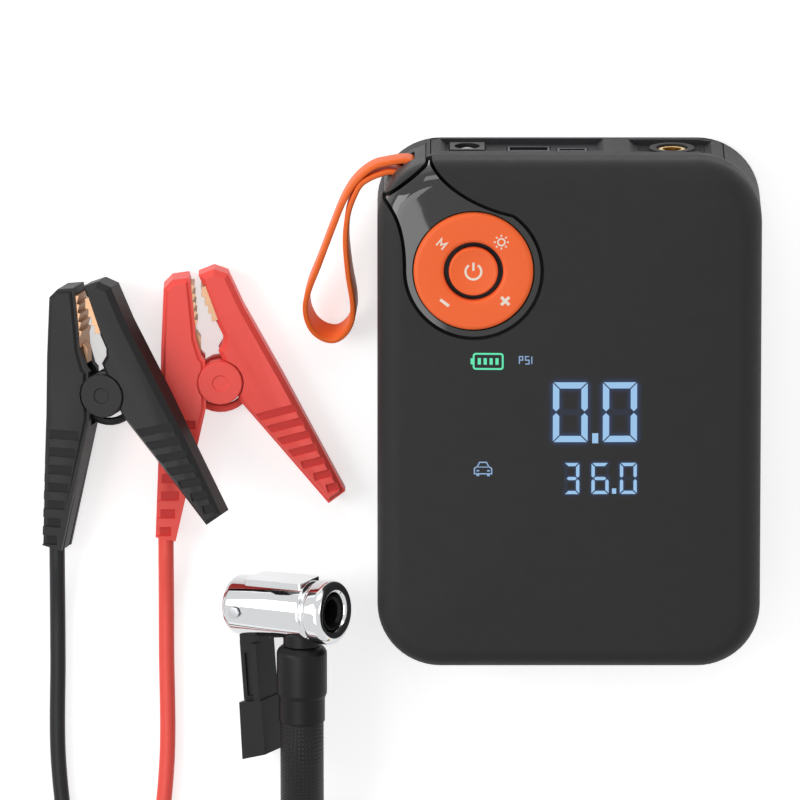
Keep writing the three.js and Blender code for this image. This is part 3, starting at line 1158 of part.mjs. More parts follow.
// A lead, from the bore in its clamp's handle down to the table and on to the plug.
function lead(start, end) {
  const low = LEAD_D / 2 + TABLE_GAP;
  const [x, y, z] = start;
  const points = [start, [x, y - 9, z], [x, y - 26, low + 0.6], [x, y - 44, low],
    [x, -128, low], [x * 0.75 + end[0] * 0.25, -160, low],
    [x * 0.15 + end[0] * 0.85, end[1] + 34, low + 1], [end[0], end[1] + 14, end[2] - 0.6],
    [end[0], end[1] + 5, end[2]], end];
  return wire(smooth(points).getSpacedPoints(24).map((p) => p.toArray()), LEAD_D / 2, 8);
}

const PLUG_Z = PLUG_H / 2 + TABLE_GAP;
const LEAD_PITCH = LEAD_D + 1.4;

// The plug of both leads: a block with rounded edges and the two pins for the socket.
function leadPlug() {
  const ring = (inset, at) => roundedRing(PLUG_W - 2 * inset, PLUG_H - 2 * inset, 3 - inset, 0, 3)
    .map(([x, z]) => [x, z, at]);
  const body = loft([ring(1, 0), ring(0, 1.2), ring(0, PLUG_L - 1), ring(1, PLUG_L)])
    .rotate([90, 0, 0]);
  const pins = [-1, 1].map((side) => turned([[0, 0], [PLUG_PIN_R, 0],
    [PLUG_PIN_R, PLUG_PIN_L - 1], [PLUG_PIN_R - 1, PLUG_PIN_L], [0, PLUG_PIN_L]], 12)
    .translate([(side * SOCKET_PITCH) / 2, 0, PLUG_L - 1]).rotate([90, 0, 0]));
  return join([body, ...pins]).translate([PLUG_X, PLUG_Y, PLUG_Z]);
}

// ---- Finishes -------------------------------------------------------------------------------------------------------------------

const finish = (color, roughness, metalness = 0) => new THREE.MeshStandardMaterial(
  { color, roughness, metalness });
const softTouch = () => finish(0x38383b, 0.8);
const knurled = () => finish(0x46464a, 0.75);
const gloss = () => finish(0x0c0c0e, 0.12);
const darkPlastic = () => finish(0x2b2b2e, 0.55);
const rubber = () => finish(0x1d1d1f, 0.9);
const orange = () => finish(0xf5651f, 0.5);
const redPlastic = () => finish(0xe83a34, 0.5);
const copper = () => finish(0xb87848, 0.3, 1);
const brass = () => finish(0xc6a15a, 0.3, 1);
const steel = () => finish(0xb4b6ba, 0.3, 1);
const chrome = () => finish(0xd9dbde, 0.08, 1);
const aluminium = () => finish(0xa7aaad, 0.45, 1);
const orangeRubber = () => finish(0xf76c3c, 0.6);
const glass = () => finish(0xdfe6ea, 0.05);
const circuitGreen = () => finish(0x1d5b3a, 0.6);
const pouch = () => finish(0x9aa0a6, 0.4, 0.6);

// ---- Assembly ----------------------------------------------------------------------------------------------------------------------

const group = new THREE.Group();
group.name = 'jump_starter_pack';

function place(parent, name, body, material) {
  const mesh = new THREE.Mesh(geometryOf(body), material);
  mesh.name = name;
  parent.add(mesh);
  return mesh;
}

const unit = new THREE.Group();
group.add(unit);
place(unit, 'rear_cover', rearCover(), knurled());
place(unit, 'front_cover', frontCover(), softTouch());
place(unit, 'port_panel', portPanel(), knurled());
place(unit, 'control_bezel', controlBezel(), gloss());
place(unit, 'control_ring', controlRing(), orange());
place(unit, 'power_button', powerButton(), orange());
place(unit, 'keypad_mat', keypadMat(), rubber());
place(unit, 'display_module', displayModule(), darkPlastic());
place(unit, 'main_board', mainBoard(), circuitGreen());
for (let i = 0; i < CELL_COUNT; i += 1) {
  place(unit, `battery_cell_${i + 1}`, batteryCell(i), pouch());
}
SCREWS.forEach((at, i) => place(unit, `case_screw_${i + 1}`, caseScrew(at), steel()));
place(unit, 'strap_anchor', strapAnchor(), darkPlastic());
place(unit, 'strap_pin', strapPin(), steel());
place(unit, 'wrist_strap', wristStrap(), orangeRubber());
place(unit, 'torch_bezel', torchBezel(), darkPlastic());
place(unit, 'torch_lens', torchLens(), glass());
place(unit, 'usb_a_port', usbPort(USB_A_X, USB_A_Z, USB_A_W, USB_A_H, 1.8), steel());
place(unit, 'usb_c_port', usbPort(USB_C_X, USB_C_Z, USB_C_W, USB_C_H, 0.7), steel());
place(unit, 'air_outlet', airOutlet(), brass());
place(unit, 'air_tube', airTube(), rubber());
place(unit, 'pump_frame', pumpFrame(), aluminium());
place(unit, 'compressor_motor', compressorMotor(), steel());
place(unit, 'motor_pinion', motorPinion(), brass());
place(unit, 'drive_gear', driveGear(), finish(0xd8d2c0, 0.6));
place(unit, 'jump_socket', jumpSocket(), finish(0x2a4f9c, 0.5));
place(unit, 'socket_cover', socketCover(), rubber());

// A clamp in its own group: placed at its pivot and rolled about Y.
function addClamp(name, x, y, z, roll, plastic) {
  const clamp = new THREE.Group();
  clamp.position.set(x, y, z);
  clamp.rotation.y = -roll * DEG;
  group.add(clamp);
  place(clamp, `${name}_clamp_body`, clampBody(), plastic());
  place(clamp, `${name}_clamp_lever`, clampLever(), plastic());
  place(clamp, `${name}_pivot_pin`, pivotPin(), plastic());
  place(clamp, `${name}_spring`, torsionSpring(), steel());
  place(clamp, `${name}_fixed_jaw`, fixedJaw(), copper());
  place(clamp, `${name}_moving_jaw`, movingJaw(), copper());
  place(clamp, `${name}_link_wire`, linkWire(), name === 'red' ? redPlastic() : rubber());
  clamp.updateMatrixWorld(true);
  return clamp;
}

// A rolled clamp rests on the lower edge of its fixed half; a flat one on its pivot's head.
const restHeight = (roll) => Math.max(PIVOT_HALF * Math.cos(roll * DEG), 20 * Math.sin(roll * DEG)
  + (CLAMP_T / 2) * Math.cos(roll * DEG)) + TABLE_GAP;
const black = addClamp('black', BLACK_X, BLACK_Y, restHeight(BLACK_ROLL), BLACK_ROLL, darkPlastic);
const red = addClamp('red', RED_X, RED_Y, restHeight(0), 0, redPlastic);

// A lead starts in the bore of its clamp's handle and ends at the plug's face.
function addLead(name, clamp, side, material) {
  const start = clamp.localToWorld(new THREE.Vector3(HANDLE_END[0],
    -HANDLE_REACH + LEAD_SEAT, 0)).toArray();
  const end = [PLUG_X + (side * LEAD_PITCH) / 2, PLUG_Y + FIT, PLUG_Z];
  place(group, name, lead(start, end), material);
}

addLead('black_lead', black, -1, rubber());
addLead('red_lead', red, 1, redPlastic());
place(group, 'lead_plug', leadPlug(), darkPlastic());

const chuck = new THREE.Group();
chuck.applyMatrix4(chuckPlace);
group.add(chuck);
place(group, 'chuck_head', chuckHead(), chrome());
place(chuck, 'chuck_seal', chuckSeal(), rubber());
place(chuck, 'chuck_lever', chuckLever(), darkPlastic());
place(chuck, 'lever_pin', leverPin(), steel());
place(group, 'hose_boot', hoseBoot(), rubber());
place(group, 'air_hose', airHose(), rubber());

const fitting = new THREE.Group();
fitting.position.set(HOSE_END_X, 0, FITTING_Z);
group.add(fitting);
place(fitting, 'hose_nipple', hoseNipple(), brass());
place(fitting, 'hose_nut', hoseNut(), brass());

console.log(`spring: least gap of the coil to itself ${springGap().toFixed(2)} mm`);

export default group;
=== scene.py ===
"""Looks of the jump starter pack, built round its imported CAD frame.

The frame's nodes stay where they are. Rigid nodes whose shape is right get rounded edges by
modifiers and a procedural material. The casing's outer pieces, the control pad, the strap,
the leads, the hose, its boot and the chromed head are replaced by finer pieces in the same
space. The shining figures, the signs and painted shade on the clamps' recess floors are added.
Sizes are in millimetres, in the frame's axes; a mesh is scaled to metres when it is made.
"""

import logging
import math
from collections.abc import Callable, Sequence
from dataclasses import dataclass
from enum import Enum

import bmesh
import bpy
import numpy as np
from mathutils import Matrix, Vector


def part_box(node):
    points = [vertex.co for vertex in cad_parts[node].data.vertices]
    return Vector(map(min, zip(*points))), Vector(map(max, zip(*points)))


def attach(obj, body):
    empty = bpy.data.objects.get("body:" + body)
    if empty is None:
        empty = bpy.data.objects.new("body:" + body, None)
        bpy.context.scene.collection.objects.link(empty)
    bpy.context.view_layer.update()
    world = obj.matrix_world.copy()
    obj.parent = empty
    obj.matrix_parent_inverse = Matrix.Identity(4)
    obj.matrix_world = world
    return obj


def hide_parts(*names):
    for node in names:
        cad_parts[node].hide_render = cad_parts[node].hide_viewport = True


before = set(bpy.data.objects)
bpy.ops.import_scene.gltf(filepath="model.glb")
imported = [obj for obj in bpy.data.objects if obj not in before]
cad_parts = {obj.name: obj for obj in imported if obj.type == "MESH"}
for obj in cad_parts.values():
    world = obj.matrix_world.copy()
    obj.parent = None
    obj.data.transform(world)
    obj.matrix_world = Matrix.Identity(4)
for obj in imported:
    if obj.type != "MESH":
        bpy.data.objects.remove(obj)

log = logging.getLogger("jump_starter_scene")

MM = 0.001
SHARP = 35.0
MERGE = 1e-7
ROUND_SHARE = 0.45
SPLINE_STEPS = 24
LEAST_SAMPLES = 8
LEAST_CORNER = 0.5
CORD_STEP = 2.0
WEAVE_UV = "weave"
Point = Sequence[float]
Face = tuple[int, ...]


class Slot(str, Enum):
    """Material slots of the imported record."""

    SOFT_TOUCH = "soft_touch"
    KNURLED = "knurled_plastic"
    GLOSS = "gloss_black"
    DARK = "dark_plastic"
    RUBBER = "black_rubber"
    ORANGE = "orange_keys"
    RED = "red_plastic"
    DISPLAY = "display"
    BOARD = "circuit_board"
    POUCH = "cell_pouch"
    STRAP = "orange_rubber"
    BRAID = "hose_braid"
    LENS = "lens_glass"
    STEEL = "steel"
    CHROME = "chrome"
    BRASS = "brass"
    COPPER = "copper"
    CAST = "cast_aluminium"


class Relief(Enum):
    """Kinds of fine relief that a finish can have."""

    GRAIN = "grain"
    KNURL = "knurl"
    BRAID = "braid"
    BRUSHED = "brushed"


# ---- Finishes -------------------------------------------------------------------------


@dataclass(frozen=True)
class Finish:
    """One finish: its plain shader values and the scale of its fine detail.

    Colours are linear. pitch is the relief's spacing and depth its height, in millimetres;
    mottle is the share by which the colour wanders.
    """

    colour: tuple[float, float, float]
    roughness: float
    metallic: float = 0.0
    coat: float = 0.0
    sheen: float = 0.0
    relief: Relief = Relief.GRAIN
    pitch: float = 0.35
    depth: float = 0.012
    mottle: float = 0.10
    specular: float = 0.18
    glow: tuple[float, float, float] | None = None
    strength: float = 0.0


FINISHES: dict[str, Finish] = {
    Slot.SOFT_TOUCH: Finish((0.018, 0.018, 0.019), 0.60, sheen=0.02, pitch=0.22, depth=0.010),
    Slot.KNURLED: Finish((0.030, 0.030, 0.033), 0.5, relief=Relief.KNURL, pitch=1.0, depth=0.22),
    Slot.GLOSS: Finish((0.006, 0.006, 0.007), 0.07, coat=1.0, pitch=4.0, depth=0.003, mottle=0.05),
    Slot.DARK: Finish((0.017, 0.017, 0.018), 0.42, pitch=0.30, depth=0.012),
    Slot.RUBBER: Finish((0.005, 0.005, 0.006), 0.40, pitch=0.4, depth=0.015),
    Slot.ORANGE: Finish((0.98, 0.150, 0.035), 0.45, pitch=0.25, depth=0.006, mottle=0.03),
    Slot.RED: Finish((0.95, 0.100, 0.082), 0.40, pitch=0.35, depth=0.010, mottle=0.04),
    Slot.DISPLAY: Finish((0.012, 0.012, 0.014), 0.4),
    Slot.BOARD: Finish((0.012, 0.10, 0.045), 0.4, coat=0.3),
    Slot.POUCH: Finish((0.40, 0.42, 0.44), 0.32, metallic=0.9, pitch=1.2, depth=0.04),
    Slot.STRAP: Finish((0.98, 0.165, 0.026), 0.45, pitch=0.5, depth=0.006, mottle=0.03),
    Slot.BRAID: Finish((0.012, 0.012, 0.013), 0.42, relief=Relief.BRAID, pitch=1.25, depth=0.14),
    Slot.LENS: Finish((0.05, 0.055, 0.06), 0.05, coat=1.0, mottle=0.02, depth=0.0),
    Slot.STEEL: Finish((0.56, 0.57, 0.59), 0.30, metallic=1.0, relief=Relief.BRUSHED, depth=0.004),
    Slot.CHROME: Finish(
        (0.66, 0.67, 0.68), 0.05, metallic=1.0, pitch=3.0, depth=0.0006, mottle=0.02
    ),
    Slot.BRASS: Finish((0.70, 0.46, 0.16), 0.24, metallic=1.0, relief=Relief.BRUSHED, depth=0.004),
    Slot.COPPER: Finish((0.42, 0.25, 0.15), 0.42, metallic=1.0, relief=Relief.BRUSHED, depth=0.006),
    Slot.CAST: Finish((0.48, 0.49, 0.50), 0.50, metallic=1.0, pitch=0.8, depth=0.05),
    "lead_black_rubber": Finish((0.020, 0.020, 0.022), 0.40, pitch=0.5, depth=0.006),
    "lead_red_plastic": Finish(
        (0.96, 0.110, 0.085), 0.36, pitch=0.5, depth=0.006, mottle=0.04
    ),
    # Painted shade: darker copies of the clamps' black and red for their grip recesses' floors.
    "painted_shade_black": Finish((0.006, 0.006, 0.007), 0.55, pitch=0.4, depth=0.012),
    "painted_shade_red": Finish((0.66, 0.040, 0.034), 0.55, pitch=0.4, depth=0.012, mottle=0.04),
    "shell_dark": Finish((0.09, 0.09, 0.10), 0.35, metallic=1.0, depth=0.004),
    "icon_cream": Finish((0.90, 0.80, 0.68), 0.5, pitch=0.2, depth=0.004, mottle=0.04),
    "segment_lit": Finish(
        (0.02, 0.03, 0.05), 0.5, mottle=0.02, glow=(0.33, 0.56, 0.83), strength=0.92
    ),
    "segment_faint": Finish(
        (0.016, 0.018, 0.024), 0.5, mottle=0.02, glow=(0.05, 0.10, 0.22), strength=0.08
    ),
    "icon_green": Finish(
        (0.02, 0.05, 0.04), 0.5, mottle=0.02, glow=(0.11, 0.80, 0.43), strength=0.95
    ),
    "icon_blue": Finish(
        (0.02, 0.03, 0.05), 0.5, mottle=0.02, glow=(0.30, 0.47, 0.72), strength=0.8
    ),
}


class Nodes:
    """A node tree, with short ways to add to it."""

    def __init__(self, tree: bpy.types.NodeTree) -> None:
        self.tree = tree

    def node(self, kind: str, **settings: object) -> bpy.types.Node:
        """Adds a node.

        Args:
            kind: the node's type name.
            settings: properties to set on it.

        Returns:
            The node.
        """
        made = self.tree.nodes.new(kind)
        for key, value in settings.items():
            setattr(made, key, value)
        return made

    def link(self, source: bpy.types.NodeSocket, target: bpy.types.NodeSocket) -> None:
        """Joins two sockets."""
        self.tree.links.new(source, target)

    def math(self, operation: str, *values: float | bpy.types.NodeSocket) -> bpy.types.NodeSocket:
        """Adds a Math node.

        Args:
            operation: the node's operation.
            values: a number or a socket for each input.

        Returns:
            The result's socket.
        """
        made = self.node("ShaderNodeMath", operation=operation)
        for socket, value in zip(made.inputs, values):
            if isinstance(value, bpy.types.NodeSocket):
                self.link(value, socket)
            else:
                socket.default_value = value
        return made.outputs[0]

    def ranged(
        self, value: bpy.types.NodeSocket, to: Point = (0, 1), given: Point = (0, 1)
    ) -> bpy.types.NodeSocket:
        """Maps a socket's values from one range to another, and holds them inside it.

        Args:
            value: the socket.
            to: both ends of the new range.
            given: both ends of the old range.

        Returns:
            The result's socket.
        """
        made = self.node("ShaderNodeMapRange")
        for name, end in zip(("From Min", "From Max", "To Min", "To Max"), (*given, *to)):
            made.inputs[name].default_value = end
        self.link(value, made.inputs["Value"])
        return made.outputs[0]

    def axes(self, vector: bpy.types.NodeSocket) -> bpy.types.bpy_prop_collection:
        """The three parts of a vector socket."""
        made = self.node("ShaderNodeSeparateXYZ")
        self.link(vector, made.inputs[0])
        return made.outputs


class Shader(Nodes):
    """Builds one material's nodes round a Principled BSDF."""

    MOTTLE_PITCH = 9.0
    GLOSS_PITCH = 3.6
    GLOSS_SPREAD = 0.12
    METAL_SPECULAR = 0.5
    COAT_ROUGHNESS = 0.04
    SHEEN_ROUGHNESS = 0.5
    BRUSH_STRETCH = (1, 1, 0.12)
    # Braid colour factors: painted shade between strands, painted highlight on their tops.
    BRAID_SHADE_AND_HIGHLIGHT = (0.30, 1.5)
    KNURL_TOP = 26.0
    KNURL_FADE = 0.5
    EVEN_OFFSET = 2000.0

    def __init__(self, name: str, finish: Finish) -> None:
        self.material = bpy.data.materials.new(name)
        self.material.use_nodes = True
        super().__init__(self.material.node_tree)
        self.bsdf = self.tree.nodes["Principled BSDF"]
        self.finish = finish
        self._coordinates: bpy.types.NodeSocket | None = None

    def place(self, stretch: Point = (1, 1, 1)) -> bpy.types.NodeSocket:
        """Object coordinates in millimetres, multiplied by stretch on each axis."""
        if self._coordinates is None:
            self._coordinates = self.node("ShaderNodeTexCoord").outputs["Object"]
        mapping = self.node("ShaderNodeMapping")
        mapping.inputs["Scale"].default_value = [s / MM for s in stretch]
        self.link(self._coordinates, mapping.inputs["Vector"])
        return mapping.outputs[0]

    def noise(self, pitch: float, detail: float = 2.0, stretch: Point = (1, 1, 1)):
        """Noise of about pitch millimetres.

        Args:
            pitch: size of its blobs.
            detail: number of finer layers.
            stretch: factors on the coordinates, for brushed looks.

        Returns:
            A socket from 0 to 1.
        """
        made = self.node("ShaderNodeTexNoise")
        made.inputs["Scale"].default_value = 1 / pitch
        made.inputs["Detail"].default_value = detail
        self.link(self.place(stretch), made.inputs["Vector"])
        return made.outputs[0]

    def crossing(self, a: bpy.types.NodeSocket, b: bpy.types.NodeSocket):
        """Height of two sets of strands that go over and under each other.

        Args:
            a: coordinate across the first set, in strands.
            b: coordinate across the second set, in strands.

        Returns:
            A socket from 0, between strands, to 1, on top of one.
        """
        beyond = self.math("ADD", self.math("FLOOR", b), self.EVEN_OFFSET)
        parity = self.math("MODULO", self.math("ADD", self.math("FLOOR", a), beyond), 2.0)
        first, second = (
            self.math("POWER", self.math("SINE", self.math("MULTIPLY", strand, math.pi)), 2.0)
            for strand in (a, b)
        )
        change = self.math("MULTIPLY", self.math("SUBTRACT", second, first), parity)
        return self.math("ADD", first, change)

    def knurl(self, pitch: float) -> bpy.types.NodeSocket:
        """Height of crossed ridges on upright walls, which fade out under the front's rim."""
        x, y, up = self.axes(self.place())
        along = self.math("ADD", x, y)
        one, two = (
            self.math("SINE", self.math("MULTIPLY", self.math(sign, along, up), math.pi / pitch))
            for sign in ("ADD", "SUBTRACT")
        )
        bumps = self.math("ABSOLUTE", self.math("MULTIPLY", one, two))
        band = self.ranged(up, given=(self.KNURL_TOP + self.KNURL_FADE, self.KNURL_TOP))
        return self.math("MULTIPLY", bumps, band)

    def braid(self, pitch: float) -> bpy.types.NodeSocket:
        """Height of a braid that follows the piece's own UV map."""
        parts = self.axes(self.node("ShaderNodeUVMap", uv_map=WEAVE_UV).outputs[0])
        across, along = (self.math("DIVIDE", parts[i], pitch) for i in (0, 1))
        return self.crossing(self.math("ADD", across, along), self.math("SUBTRACT", across, along))

    def relief(self) -> bpy.types.NodeSocket:
        """The finish's fine relief as a height socket."""
        kind, pitch = self.finish.relief, self.finish.pitch
        if kind is Relief.GRAIN:
            return self.noise(pitch, detail=3.0)
        if kind is Relief.BRUSHED:
            return self.noise(pitch, stretch=self.BRUSH_STRETCH)
        return self.knurl(pitch) if kind is Relief.KNURL else self.braid(pitch)

    def build(self) -> bpy.types.Material:
        """Fills in the material: mottled colour, uneven gloss and relief.

        A braid's colour follows its relief instead: painted shade between the strands and
        painted highlight on their tops.

        Returns:
            The material.
        """
        finish, inputs = self.finish, self.bsdf.inputs
        specular = self.METAL_SPECULAR if finish.metallic else finish.specular
        for name, value in (
            ("Metallic", finish.metallic), ("Specular IOR Level", specular),
            ("Coat Weight", finish.coat), ("Coat Roughness", self.COAT_ROUGHNESS),
            ("Sheen Weight", finish.sheen), ("Sheen Roughness", self.SHEEN_ROUGHNESS),
        ):
            inputs[name].default_value = value
        if finish.glow:
            inputs["Emission Color"].default_value = (*finish.glow, 1)
            inputs["Emission Strength"].default_value = finish.strength
        woven = finish.relief is Relief.BRAID
        height = self.relief()
        shades = self.node("ShaderNodeMix", data_type="RGBA")
        ends = self.BRAID_SHADE_AND_HIGHLIGHT if woven else (1 - finish.mottle, 1 + finish.mottle)
        for name, share in zip("AB", ends):
            colour = [min(1.0, c * share) for c in finish.colour]
            shades.inputs[name].default_value = (*colour, 1)
        # Braid: the height, giving painted shade in gaps and painted highlight on tops.
        mottle = height if woven else self.noise(self.MOTTLE_PITCH, detail=4.0)
        self.link(mottle, shades.inputs["Factor"])
        self.link(shades.outputs["Result"], inputs["Base Color"])
        gloss = [min(1.0, finish.roughness * (1 + s * self.GLOSS_SPREAD)) for s in (-1, 1)]
        uneven = self.ranged(self.noise(self.GLOSS_PITCH, detail=3.0), to=gloss)
        self.link(uneven, inputs["Roughness"])
        if finish.depth > 0:
            bump = self.node("ShaderNodeBump")
            bump.inputs["Distance"].default_value = finish.depth * MM
            bump.inputs["Strength"].default_value = 1.0
            self.link(height, bump.inputs["Height"])
            self.link(bump.outputs[0], inputs["Normal"])
        return self.material


class Palette:
    """Makes each material once, when it is first asked for."""

    def __init__(self) -> None:
        self._made: dict[str, bpy.types.Material] = {}

    def get(self, name: str) -> bpy.types.Material:
        """The material of that finish."""
        key = name.value if isinstance(name, Slot) else name
        if key not in self._made:
            self._made[key] = Shader(key, FINISHES[name]).build()
        return self._made[key]


palette = Palette()

# ---- Mesh helpers ---------------------------------------------------------------------


def shade(mesh: bpy.types.Mesh, sharp: float) -> None:
    """Shades a mesh smooth, apart from edges over an angle in degrees."""
    mesh.shade_smooth()
    mesh.set_sharp_from_angle(angle=math.radians(sharp))


def place_object(name: str, data: bpy.types.ID) -> bpy.types.Object:
    """Makes an object of a mesh, a lamp or a camera, and puts it in the scene."""
    made = bpy.data.objects.new(name, data)
    bpy.context.scene.collection.objects.link(made)
    return made


def add_mesh(
    name: str, vertices: np.ndarray, faces: Sequence[Face], sharp: float = SHARP
) -> bpy.types.Object:
    """Makes an object from points in millimetres.

    Args:
        name: the piece's name.
        vertices: points, one row each.
        faces: corners of each face.
        sharp: edges over this angle, in degrees, stay sharp.

    Returns:
        The object, with outward faces and smooth shading.
    """
    mesh = bpy.data.meshes.new(name)
    mesh.from_pydata((np.asarray(vertices, float) * MM).tolist(), [], [list(f) for f in faces])
    built = bmesh.new()
    built.from_mesh(mesh)
    bmesh.ops.remove_doubles(built, verts=built.verts, dist=MERGE)
    bmesh.ops.recalc_face_normals(built, faces=built.faces)
    built.to_mesh(mesh)
    built.free()
    shade(mesh, sharp)
    return place_object(name, mesh)


def skin(rings: Sequence[np.ndarray], closed: bool = False) -> tuple[np.ndarray, list[Face]]:
    """Faces through a stack of rings with the same number of points.

    Args:
        rings: the rings, each an array of points.
        closed: True joins the last ring to the first; False closes both ends by flat faces.

    Returns:
        The points and the faces.
    """
    count, n = len(rings), len(rings[0])
    faces: list[Face] = []
    for k in range(count if closed else count - 1):
        a, b = k * n, ((k + 1) % count) * n
        faces += [(a + i, a + (i + 1) % n, b + (i + 1) % n, b + i) for i in range(n)]
    if not closed:
        faces.append(tuple(reversed(range(n))))
        faces.append(tuple(range((count - 1) * n, count * n)))
    return np.vstack(rings), faces


def turned(
    name: str,
    profile: Sequence[Point],
    segments: int = 96,
    place: Matrix | None = None,
    sharp: float = SHARP,
) -> bpy.types.Object:
    """Revolves a profile about Z.

    Args:
        name: the piece's name.
        profile: radius and height of each point; one that starts off the axis is a closed loop.
        segments: points round the axis.
        place: matrix in millimetres that puts it in the frame.
        sharp: edges over this angle stay sharp.

    Returns:
        The object.
    """
    angles = np.arange(segments) * 2 * np.pi / segments
    rings = [
        np.column_stack([r * np.cos(angles), r * np.sin(angles), np.full(segments, h)])
        for r, h in profile
    ]
    loop = profile[0][0] > 0
    points, faces = skin(rings, closed=loop)
    if place is not None:
        turn = np.array(place)
        points = points @ turn[:3, :3].T + turn[:3, 3]
    return add_mesh(name, points, faces, sharp)


def unit_rows(rows: np.ndarray) -> np.ndarray:
    """Rows of vectors, each made one long."""
    return rows / np.linalg.norm(rows, axis=1)[:, None]


def arc(radius: float, start: float, end: float, count: int) -> list[tuple[float, float]]:
    """Points of an arc about the origin, between two angles in degrees."""
    return [(radius * math.cos(t), radius * math.sin(t))
            for t in np.radians(np.linspace(start, end, count))]


def rounded(profile: Sequence[Point], radius: float, steps: int = 4) -> list[tuple[float, float]]:
    """A profile with its inner corners rounded by short quadratic curves.

    Args:
        profile: points of an open profile.
        radius: reach of each round along both of its sides.
        steps: points on each round, less one.

    Returns:
        The new points.
    """
    points = [np.array(p, float) for p in profile]
    made = [tuple(points[0])]
    for before, corner, after in zip(points, points[1:], points[2:]):
        into, out = before - corner, after - corner
        near, far = np.linalg.norm(into), np.linalg.norm(out)
        reach = min(radius, ROUND_SHARE * near, ROUND_SHARE * far)
        start = corner + into / near * reach
        end = corner + out / far * reach
        for t in np.linspace(0, 1, steps + 1):
            made.append(tuple((1 - t) ** 2 * start + 2 * t * (1 - t) * corner + t**2 * end))
    made.append(tuple(points[-1]))
    return made


def prism(name: str, outline: np.ndarray, low: float, high: float) -> bpy.types.Object:
    """An upright prism over an outline, from low to high."""
    flat = np.asarray(outline, float)
    rings = [np.column_stack([flat, np.full(len(flat), z)]) for z in (low, high)]
    return add_mesh(name, *skin(rings))


def block(name: str, low: Point, high: Point) -> bpy.types.Object:
    """A box between two corners."""
    (x0, y0, z0), (x1, y1, z1) = low, high
    return prism(name, np.array([(x0, y0), (x1, y0), (x1, y1), (x0, y1)]), z0, z1)


def combine(
    body: bpy.types.Object, tools: Sequence[bpy.types.Object], operation: str, sharp: float
) -> None:
    """Combines closed tools with a body, one after the other, and deletes them.

    Args:
        body: the object that is changed.
        tools: closed objects.
        operation: DIFFERENCE, UNION or INTERSECT.
        sharp: edges over this angle stay sharp afterwards.
    """
    for tool in tools:
        step = body.modifiers.new("combine", "BOOLEAN")
        step.operation, step.solver, step.object = operation, "EXACT", tool
    settle(body, sharp)
    for tool in tools:
        bpy.data.objects.remove(tool)


def carve(body: bpy.types.Object, tools: Sequence[bpy.types.Object], sharp: float = SHARP) -> None:
    """Cuts tools from a body."""
    combine(body, tools, "DIFFERENCE", sharp)


def unite(body: bpy.types.Object, tools: Sequence[bpy.types.Object], sharp: float = SHARP) -> None:
    """Joins other closed objects into a body."""
    combine(body, tools, "UNION", sharp)


def trim(body: bpy.types.Object, tool: bpy.types.Object, sharp: float = SHARP) -> None:
    """Keeps of a body only what lies inside a tool."""
    combine(body, [tool], "INTERSECT", sharp)


def settle(body: bpy.types.Object, sharp: float) -> None:
    """Applies a body's modifiers and shades it again."""
    evaluated = body.evaluated_get(bpy.context.evaluated_depsgraph_get())
    mesh = bpy.data.meshes.new_from_object(evaluated)
    body.modifiers.clear()
    body.data = mesh
    shade(mesh, sharp)


def soften(body: bpy.types.Object, width: float, angle: float = 38.0, segments: int = 2) -> None:
    """Rounds the edges over an angle by a bevel of that width."""
    bevel = body.modifiers.new("edge_round", "BEVEL")
    bevel.width, bevel.segments = width * MM, segments
    bevel.limit_method, bevel.angle_limit = "ANGLE", math.radians(angle)
    bevel.use_clamp_overlap = True
    bevel.harden_normals = True


def spline(points: Sequence[Point], spacing: float, closed: bool = False) -> np.ndarray:
    """A centripetal Catmull-Rom curve through points, resampled evenly.

    Args:
        points: rows of any length; the first three numbers are the place.
        spacing: distance between the samples.
        closed: whether the curve returns to its start.

    Returns:
        The samples, one row each.
    """
    given = np.asarray(points, float)
    if closed:
        ends = np.vstack([given[-1:], given, given[:2]])
    else:
        ends = np.vstack([2 * given[0] - given[1], given, 2 * given[-1] - given[-2]])
    dense = []
    for p0, p1, p2, p3 in zip(ends, ends[1:], ends[2:], ends[3:]):
        knots = [0.0]
        for a, b in ((p0, p1), (p1, p2), (p2, p3)):
            knots.append(knots[-1] + max(np.linalg.norm((b - a)[:3]), 1e-6) ** 0.5)
        t0, t1, t2, t3 = knots
        for t in np.linspace(t1, t2, SPLINE_STEPS, endpoint=False):
            a1 = (t1 - t) / (t1 - t0) * p0 + (t - t0) / (t1 - t0) * p1
            a2 = (t2 - t) / (t2 - t1) * p1 + (t - t1) / (t2 - t1) * p2
            a3 = (t3 - t) / (t3 - t2) * p2 + (t - t2) / (t3 - t2) * p3
            b1 = (t2 - t) / (t2 - t0) * a1 + (t - t0) / (t2 - t0) * a2
            b2 = (t3 - t) / (t3 - t1) * a2 + (t - t1) / (t3 - t1) * a3
            dense.append((t2 - t) / (t2 - t1) * b1 + (t - t1) / (t2 - t1) * b2)
    dense.append(given[0] if closed else given[-1])
    rows = np.array(dense)
    reach = np.concatenate([[0], np.cumsum(np.linalg.norm(np.diff(rows[:, :3], axis=0), axis=1))])
    count = max(LEAST_SAMPLES, round(reach[-1] / spacing))
    at = np.linspace(0, reach[-1], count + 1)
    even = np.column_stack([np.interp(at, reach, column) for column in rows.T])
    return even[:-1] if closed else even


def loop_lengths(points: np.ndarray) -> np.ndarray:
    """Distances round a loop of points to each of them, and back to the first."""
    steps = np.diff(np.vstack([points, points[:1]]), axis=0)
    return np.concatenate([[0], np.cumsum(np.linalg.norm(steps, axis=1))])


